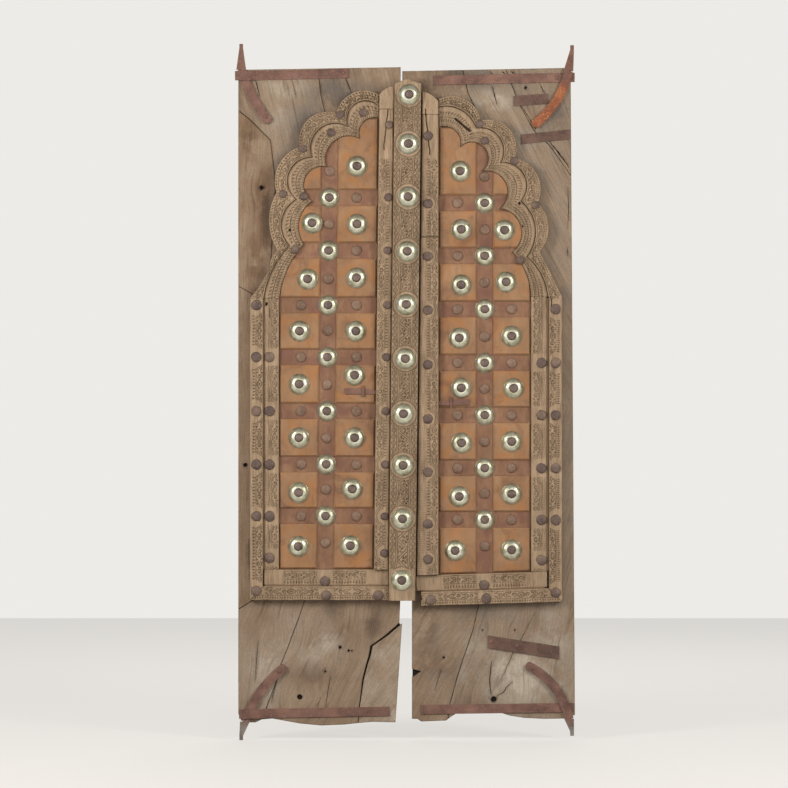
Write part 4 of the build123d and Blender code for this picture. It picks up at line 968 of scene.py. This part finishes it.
# Stains in millimetres: x, z, reach sideways and upwards, then how brown, grey, pale and dirty
STAINS = ((-470, 1822, 26, 48, 0.9, 0, 0, 0.38), (-430, 1640, 22, 70, 0.7, 0, 0, 0.35),
          (-418, 1540, 15, 130, 0.9, 0, 0, 0.45), (-450, 1400, 22, 110, 0.8, 0, 0, 0.3),
          (-204, 1948, 75, 45, 0, 0.8, 0, 0.12), (-298, 1850, 60, 70, 0, 0.6, 0, 0.1),
          (-360, 1965, 50, 30, 0, 0, 0.5, 0),
          (-395, 1890, 45, 60, 0, 0, 0.35, 0), (-214, 391, 30, 22, 0.4, 0.3, 0, 0.35),
          (-187, 319, 45, 42, 0.8, 0, 0, 0.15), (-282, 196, 70, 35, 0.7, 0.1, 0, 0.15),
          (-96, 350, 25, 50, 0.5, 0.2, 0, 0.35), (-430, 350, 55, 60, 0.6, 0, 0, 0.1),
          (-420, 170, 50, 90, 0, 0, 0.4, 0), (-60, 75, 40, 25, 0, 0, 0.7, 0),
          (-250, 290, 60, 40, 0, 0, 0.35, 0),
          (260, 1915, 45, 28, 0, 0, 0.9, 0), (190, 1990, 90, 30, 0, 0.6, 0, 0.3),
          (60, 1960, 30, 50, 0.3, 0.3, 0, 0.35), (470, 1600, 30, 90, 0, 0.4, 0.2, 0),
          (450, 1870, 40, 50, 0.2, 0.5, 0, 0.2), (120, 235, 65, 40, 0.8, 0.1, 0, 0.2),
          (70, 330, 28, 80, 0.5, 0.2, 0, 0.35), (346, 190, 80, 70, 0, 0, 1.0, 0),
          (440, 300, 60, 90, 0, 0, 0.4, 0),
          (220, 380, 60, 50, 0.3, 0.4, 0, 0.2), (180, 250, 26, 120, 0.25, 0, 0.15, 0),
          (190, 110, 40, 26, 0.8, 0, 0, 0.25), (96, 130, 40, 60, 0, 0, 0.25, 0),
          (470, 150, 40, 60, 0, 0.2, 0.3, 0),
          (360, 1780, 80, 60, 0, 0.3, 0.3, 0), (-300, 290, 150, 110, 0, 0, 0.28, 0),
          (150, 290, 120, 110, 0, 0, 0.25, 0))

# Reach of the shade beside the arch, and the spacing of the line that it is measured from
ARCH_SHADE, ARCH_LINE_STEP = 34 * MM, 8 * MM

# Spacing of a board's loose points, of those on its rim and of those on a crack
BOARD_GRID, RIM_STEP, CRACK_STEP = 7 * MM, 9 * MM, 6 * MM

# Width of a board's arris and how far from the rim its points have to be, and how far the loose points have to
# be from the rim, from a crack and from a knot hole
ARRIS, ARRIS_CLEAR = 2.2 * MM, 1.6 * MM
RIM_CLEAR, CRACK_CLEAR, HOLE_CLEAR = 5 * MM, 4 * MM, 2 * MM
HOLE_SIDES = 10

# How near two boards have to be for the near-black fill, painted shadow, to bridge the seam between them, and
# how far behind their front that fill and the one at the back of the notch lie
SEAM_REACH, SEAM_TOP, SEAM_FOOT, NOTCH_FOOT = 11 * MM, 9 * MM, 13 * MM, 27 * MM

# Depth in millimetres and darkness, dirt with painted shade, of a board's rim, a crack's sides, and a knot
# hole's rim, floor and middle
RIM, CRACK_SIDE = (1.1, 0.45), (0.3, 0.35)
HOLE_RIM, HOLE_FLOOR, HOLE_MIDDLE = (0.3, 0.5), (6.0, 1.0), (7.0, 1.0)


def longest_loop(node, back=False):
    """Outline with the most corners among a node's flat front or back areas, and its level."""
    return max(flat_loops(node, back), key=lambda found: len(found[0]))


def evened(loop, step):
    """Closed outline with a point at least every step."""
    points = []
    for a, b in zip(loop, np.roll(loop, -1, axis=0)):
        count = max(1, int(np.ceil(np.linalg.norm(b - a) / step)))
        points.extend(a + (b - a) * k / count for k in range(count))
    return np.array(points)


def within(at, loop):
    """Whether each place lies inside a closed outline: an odd number of its sides is crossed on the way out."""
    inside = np.zeros(len(at), bool)
    for a, b in zip(loop, np.roll(loop, -1, axis=0)):
        spans = (a[1] > at[:, 1]) != (b[1] > at[:, 1])
        cross = a[0] + (at[:, 1] - a[1]) / (b[1] - a[1] + 1e-12) * (b[0] - a[0])
        inside ^= spans & (at[:, 0] < cross)
    return inside


def grain_of(node, at):
    """Coordinates along and across the grain. Across is x less the lean times the height, drawn in round
    each knot by 1 - 0.75 exp(-r2 / reach2)."""
    above, below = BOARDS[node][0]
    rise = at[:, 1] - GRAIN_TURNS_AT
    lean = np.where(rise > 0, above, below)
    across = at[:, 0] - lean * rise
    for x, z, reach, _ in KNOTS:
        middle = np.array([x, z]) * MM
        held = (middle[1] - GRAIN_TURNS_AT) * (above if middle[1] > GRAIN_TURNS_AT else below)
        near = ((at - middle) ** 2).sum(1) / (reach * MM) ** 2
        across = across - (across - middle[0] + held) * 0.75 * np.exp(-near)
    return np.stack([at[:, 1] + 0.3 * at[:, 0], across + RNG.uniform(0, 3)], -1)


def triangles(at, links):
    """Triangles inside a closed outline, with the places they use and where each of those comes from."""
    found, _, faces, origin, _, _ = delaunay_2d_cdt([Vector(place) for place in at], links, [], 1, 1e-7)
    found = np.array(found)
    a, b, c = (found[k] for k in faces[0][:3])
    way = 1 if (b - a)[0] * (c - a)[1] > (b - a)[1] * (c - a)[0] else -1
    return found, [list(face)[::way] for face in faces], [list(known) or [0] for known in origin]


def cracks_in(loop):
    """Cracks that lie inside a board, each a deep middle line between two shallow sides that open as a sine
    does. They come as marks, (points, depth in mm, darkness of dirt and painted shade, how they are joined),
    and as middle lines."""
    marks, lines = [], []
    for half, deep, *line in CRACKS:
        line = np.array(line, float) * MM
        if not within(line, loop).all():
            continue
        line = resampled(line, max(3, int(run_of(line)[-1] / CRACK_STEP)))
        run = np.gradient(line, axis=0)
        normal = np.stack([-run[:, 1], run[:, 0]], -1) / np.linalg.norm(run, axis=1)[:, None]
        swell = np.sin(np.linspace(0.25, pi - 0.25, len(line)))[:, None]
        open_by = half * MM * swell * RNG.uniform(0.7, 1.2, (len(line), 1))
        line = line + normal * RNG.uniform(-0.6, 0.6, (len(line), 1)) * MM
        for shift, depth, dark in ((0, deep, 1.0), (open_by, *CRACK_SIDE), (-open_by, *CRACK_SIDE)):
            marks.append((line + normal * shift, depth, dark, "line"))
        lines.append(line)
    return marks, lines


def knot_holes_in(loop):
    """Knot holes that lie inside a board, each an uneven rim, a smaller floor and a middle point. They come as
    marks, and as (middle, radius)."""
    marks, holes = [], []
    turn = np.linspace(0, 2 * pi, HOLE_SIDES, endpoint=False)
    for x, z, _, radius in KNOTS:
        middle = np.array([[x, z]]) * MM
        if not radius or not within(middle, loop)[0]:
            continue
        ring = np.stack([np.cos(turn), np.sin(turn)], -1) * radius * MM
        ring = ring * RNG.uniform(0.85, 1.12, (HOLE_SIDES, 1))
        marks += [(middle + ring, *HOLE_RIM, "ring"), (middle + ring * 0.78, *HOLE_FLOOR, "ring"),
                  (middle, *HOLE_MIDDLE, "loose")]
        holes.append((middle, radius * MM))
    return marks, holes


def hewn_marks(loop):
    """Everything that a board's front is drawn through: its rim and the arris inside it, its cracks and knot
    holes, and a loose grid between them, in the shallow waves that an adze leaves."""
    outline = evened(loop, RIM_STEP)
    side = np.roll(outline, -1, axis=0) - np.roll(outline, 1, axis=0)
    inwards = np.stack([-side[:, 1], side[:, 0]], -1) / np.linalg.norm(side, axis=1)[:, None]
    if not within(outline[:1] + inwards[:1] * 0.5 * MM, loop)[0]:
        inwards = -inwards
    arris = outline + inwards * ARRIS
    arris = arris[within(arris, loop)]
    arris = arris[off_line(arris, outline, True) > ARRIS_CLEAR]
    low, high = loop.min(0), loop.max(0)
    columns, rows = np.arange(low[0], high[0], BOARD_GRID), np.arange(low[1], high[1], BOARD_GRID)
    grid = np.stack(np.meshgrid(columns, rows), -1).reshape(-1, 2)
    grid = grid + RNG.uniform(-0.25, 0.25, grid.shape) * BOARD_GRID
    grid = grid[within(grid, loop)]
    grid = grid[off_line(grid, outline, True) > RIM_CLEAR]
    cracks, lines = cracks_in(loop)
    knots, holes = knot_holes_in(loop)
    for line in lines:
        grid = grid[off_line(grid, line) > CRACK_CLEAR]
    for middle, radius in holes:
        grid = grid[np.linalg.norm(grid - middle, axis=1) > radius + HOLE_CLEAR]
    waves = wander(grid[:, 0] / MM, 160, 1) * wander(grid[:, 1] / MM, 230, 2)
    rim = [(outline, *RIM, "ring"), (arris, 0.0, 0.0, "loose")]
    return rim + cracks + knots + [(grid, 0.35 * (1 + waves), 0.0, "loose")]


def tones_at(node, place, spots, arch_line):
    """How brown, grey, pale and dirty a board is at each place: its own tones, a bell curve for each stain, and
    the shade that the arch leaves beside it."""
    tones = [np.full(len(place), tone) for tone in BOARDS[node][1]]
    for x, z, wide, tall, *amounts in STAINS:
        near = np.exp(-((place[:, 0] / MM - x) / wide) ** 2 - ((place[:, 1] / MM - z) / tall) ** 2)
        tones = [tone + amount * near for tone, amount in zip(tones, amounts)]
        spots = spots + amounts[3] * near
    shade = np.clip(1 - off_line(place, arch_line) / ARCH_SHADE, 0, 1)
    shade = shade * (0.55 + 0.45 * wander(place[:, 1] / MM, 190.0, 0.7))
    tones[1] = tones[1] + 0.5 * shade
    values = zip(("brown", "grey", "pale", "dirt"), tones + [spots + 0.06 * shade])
    return {name: np.clip(value, 0, 1) for name, value in values}


def plank(node, arch_line):
    """Board with a hewn front on the outline of its node: triangles through all its marks, walls round the
    rim, and a flat back. Depths run backwards from the front, so nothing stands out in front of the board."""
    (loop, front), (_, rear) = longest_loop(node), longest_loop(node, True)
    marks = hewn_marks(loop)
    outline = marks[0][0]
    points, depths, darks, joins = zip(*marks)
    links, start = [], 0
    for size, join in zip(map(len, points), joins):
        joined = {"ring": size, "line": size - 1, "loose": 0}[join]
        links += [(start + k, start + (k + 1) % size) for k in range(joined)]
        start += size
    sunk = np.concatenate([np.full(len(at), depth) for at, depth in zip(points, depths)])
    dirt = np.concatenate([np.full(len(at), dark) for at, dark in zip(points, darks)])
    at, faces, origin = triangles(np.concatenate(points), links)
    use = [known[0] for known in origin]
    sunk, dirt = sunk[use], dirt[use]
    on_edge = {k: i for i, known in enumerate(origin) for k in known if k < len(outline)}
    ring = np.array([on_edge[k] for k in range(len(outline))])
    x, z = outline.T
    if (x * np.roll(z, -1) - z * np.roll(x, -1)).sum() < 0:
        ring = ring[::-1]
    below = len(at) + np.arange(len(ring))
    walls = np.stack([ring, np.roll(ring, 1), np.roll(below, 1), below], -1).tolist()
    _, rear_faces, rear_origin = triangles(at[ring], [(k, (k + 1) % len(ring)) for k in range(len(ring))])
    rear_faces = [[len(at) + rear_origin[k][0] for k in face][::-1] for face in rear_faces]
    verts = np.concatenate([at_level(at, front + sunk * MM), at_level(at[ring], rear)])
    place = np.concatenate([at, at[ring]])
    spots = np.concatenate([dirt, np.full(len(ring), 0.1)])
    put_mesh(f"{node}_hewn", verts, faces + walls + rear_faces, PLANK, node,
             tones_at(node, place, spots, arch_line), False, grain_of(node, place))


def seam_dirt(side, boards):
    """Painted shadow deep in the seams: near-black ribbons that bridge from each board to the next one."""
    outlines = {node: evened(longest_loop(node)[0], DUST_STEP) for node in boards}
    front = front_of(boards[0])
    verts, faces = [], []
    for number, node in enumerate(boards):
        for other in boards[number + 1:]:
            close = off_line(outlines[node], outlines[other], True) < SEAM_REACH
            if not close.any():
                continue
            start = next((k for k in range(len(close)) if close[k] and not close[k - 1]), 0)
            turned_round = np.roll(np.arange(len(close)), -start)
            line = outlines[node][turned_round[close[turned_round]]]
            facing = np.array([outlines[other][nearest(outlines[other], p)] for p in line])
            step = facing - line
            step = step / np.maximum(np.linalg.norm(step, axis=1)[:, None], 1e-6)
            first, second = line - step * 3 * MM, facing + step * 3 * MM
            rings = box_rings(first, second, front + SEAM_TOP, front + SEAM_FOOT)
            faces.extend(tube_faces(len(line), 4, len(verts)))
            verts.extend(rings.reshape(-1, 3).tolist())
    put_mesh(f"{side}_seam_dirt", verts, faces, SEAM_SHADOW, f"{side}_")


def notch_shadow():
    """Painted shadow at the back of the notch in the right leaf's cut back edge: a near-black plug."""
    corners = np.array(((22, 183), (22, 217), (30, 216), (45, 211), (50, 206), (43, 199), (32, 186))) * MM
    front = front_of("right_inner_board")
    ends = np.concatenate([at_level(corners, front + SEAM_TOP), at_level(corners, front + NOTCH_FOOT)])
    put_mesh("right_notch_shadow", ends, tube_faces(2, len(corners)), SEAM_SHADOW, "right_", None, False)


for side in ("left", "right"):
    boards = [node for node in BOARDS if node.startswith(side)]
    arch_line = evened(flat_loops(f"{side}_outer_arch")[0][0], ARCH_LINE_STEP)
    for node in boards:
        plank(node, arch_line)
    seam_dirt(side, boards)
notch_shadow()


# Dressing the nodes that stay as they are

def dress(node, material, bevel, segments=2):
    """Material on a node, and softened edges: its loose triangles are welded before the bevel."""
    obj = nodes[node]
    obj.data.materials.clear()
    obj.data.materials.append(material)
    weld = obj.modifiers.new("weld", "WELD")
    weld.merge_threshold = 0.02 * MM
    soft = obj.modifiers.new("soft", "BEVEL")
    soft.width, soft.segments, soft.limit_method, soft.angle_limit = bevel, segments, "ANGLE", radians(25)
    soft.harden_normals = False


IRON_BEVEL, PANEL_BEVEL, BATTEN_BEVEL = 0.8 * MM, 2.5 * MM, 1.5 * MM
IRON_OF = {"top_strap": "iron", "top_pivot": "iron", "foot_strap": "iron", "foot_pivot": "foot_iron",
           "latch_bar": "iron", "iron_nails": "iron", "upper_repair_strap": "dark_iron",
           "middle_repair_strap": "dark_iron", "lower_repair_strap": "dark_iron"}
for node in nodes:
    kind = node.partition("_")[2]
    if kind in IRON_OF:
        iron = "orange_iron" if node == "right_top_pivot" else IRON_OF[kind]
        dress(node, IRONS[iron], IRON_BEVEL)
    elif kind == "field_panels":
        dress(node, WOODS["panel"], PANEL_BEVEL, 3)
    elif kind.endswith(("batten", "battens")):
        dress(node, WOODS["batten"], BATTEN_BEVEL)


# Light, backdrop and camera

def lamp(name, at, size, power, colour):
    """Rectangular area light that points at the middle of the leaves."""
    data = bpy.data.lights.new(name, "AREA")
    data.shape, data.size, data.size_y = "RECTANGLE", size[0], size[1]
    data.energy, data.color = power, linear(colour)[:3]
    obj = bpy.data.objects.new(name, data)
    obj.location = at
    obj.rotation_euler = (Vector(LEAVES_MIDDLE) - Vector(at)).to_track_quat("-Z", "Y").to_euler()
    obj.visible_camera = False
    bpy.context.scene.collection.objects.link(obj)


LEAVES_MIDDLE = (0, 0, 1.05)
lamp("left_box", (-2.6, -2.8, 2.3), (1.0, 1.6), 82, "FFF8EF")
lamp("right_box", (2.6, -2.8, 2.3), (1.0, 1.6), 68, "FFF8EF")
lamp("front_fill", (0, -5.5, 1.4), (4.0, 2.5), 50, "FBF9F6")
lamp("back_fill", (0.6, 3.6, 3.4), (3.0, 1.6), 60, "FBF9F6")

world = bpy.data.worlds.new("room")
bpy.context.scene.world = world
world.use_nodes = True
tree = world.node_tree
tree.nodes.clear()
ground = add(tree, "ShaderNodeBackground", {"Color": linear("E9E6E1"), "Strength": 0.55})
behind = add(tree, "ShaderNodeBackground", {"Color": linear("EDEBE7"), "Strength": 1.0})
seen = add(tree, "ShaderNodeLightPath", None, "Is Camera Ray")
both = add(tree, "ShaderNodeMixShader", {0: seen, 1: ground, 2: behind})
add(tree, "ShaderNodeOutputWorld", {0: both}, None)

# Pale floor that keeps the shadow and looks bright to the camera and in the brass
material, tree = new_material("pale_floor")
rays = add(tree, "ShaderNodeLightPath", None, None).outputs
seen = add(tree, "ShaderNodeMath", {0: rays["Is Camera Ray"], 1: rays["Is Glossy Ray"]}, operation="MAXIMUM")
glow = add(tree, "ShaderNodeMath", {0: seen, 1: 0.72}, operation="MULTIPLY")
surfaced(material, {"Base Color": linear("8F8D8A"), "Roughness": 1.0, "Specular IOR Level": 0.0,
                    "Emission Color": linear("E4E2DF"), "Emission Strength": glow})
FLOOR_HALF = 6
corners = [(-FLOOR_HALF, -FLOOR_HALF, 0), (FLOOR_HALF, -FLOOR_HALF, 0), (FLOOR_HALF, FLOOR_HALF, 0),
           (-FLOOR_HALF, FLOOR_HALF, 0)]
sheet = bpy.data.meshes.new("floor")
sheet.from_pydata(corners, [], [(0, 1, 2, 3)])
sheet.materials.append(material)
floor = bpy.data.objects.new("floor", sheet)
bpy.context.scene.collection.objects.link(floor)

VIEW_WIDTH, VIEW_MIDDLE, VIEW_FAR, SENSOR = 2.364, (-0.0335, 1.0395), 11.0, 36.0
lens = bpy.data.cameras.new("camera")
lens.sensor_width, lens.lens, lens.clip_end = SENSOR, SENSOR * VIEW_FAR / VIEW_WIDTH, 60
camera = bpy.data.objects.new("camera", lens)
camera.location = (VIEW_MIDDLE[0], -VIEW_FAR, VIEW_MIDDLE[1])
camera.rotation_euler = (pi / 2, 0, 0)
bpy.context.scene.collection.objects.link(camera)
bpy.context.scene.camera = camera
bpy.context.scene.view_settings.view_transform = "Standard"
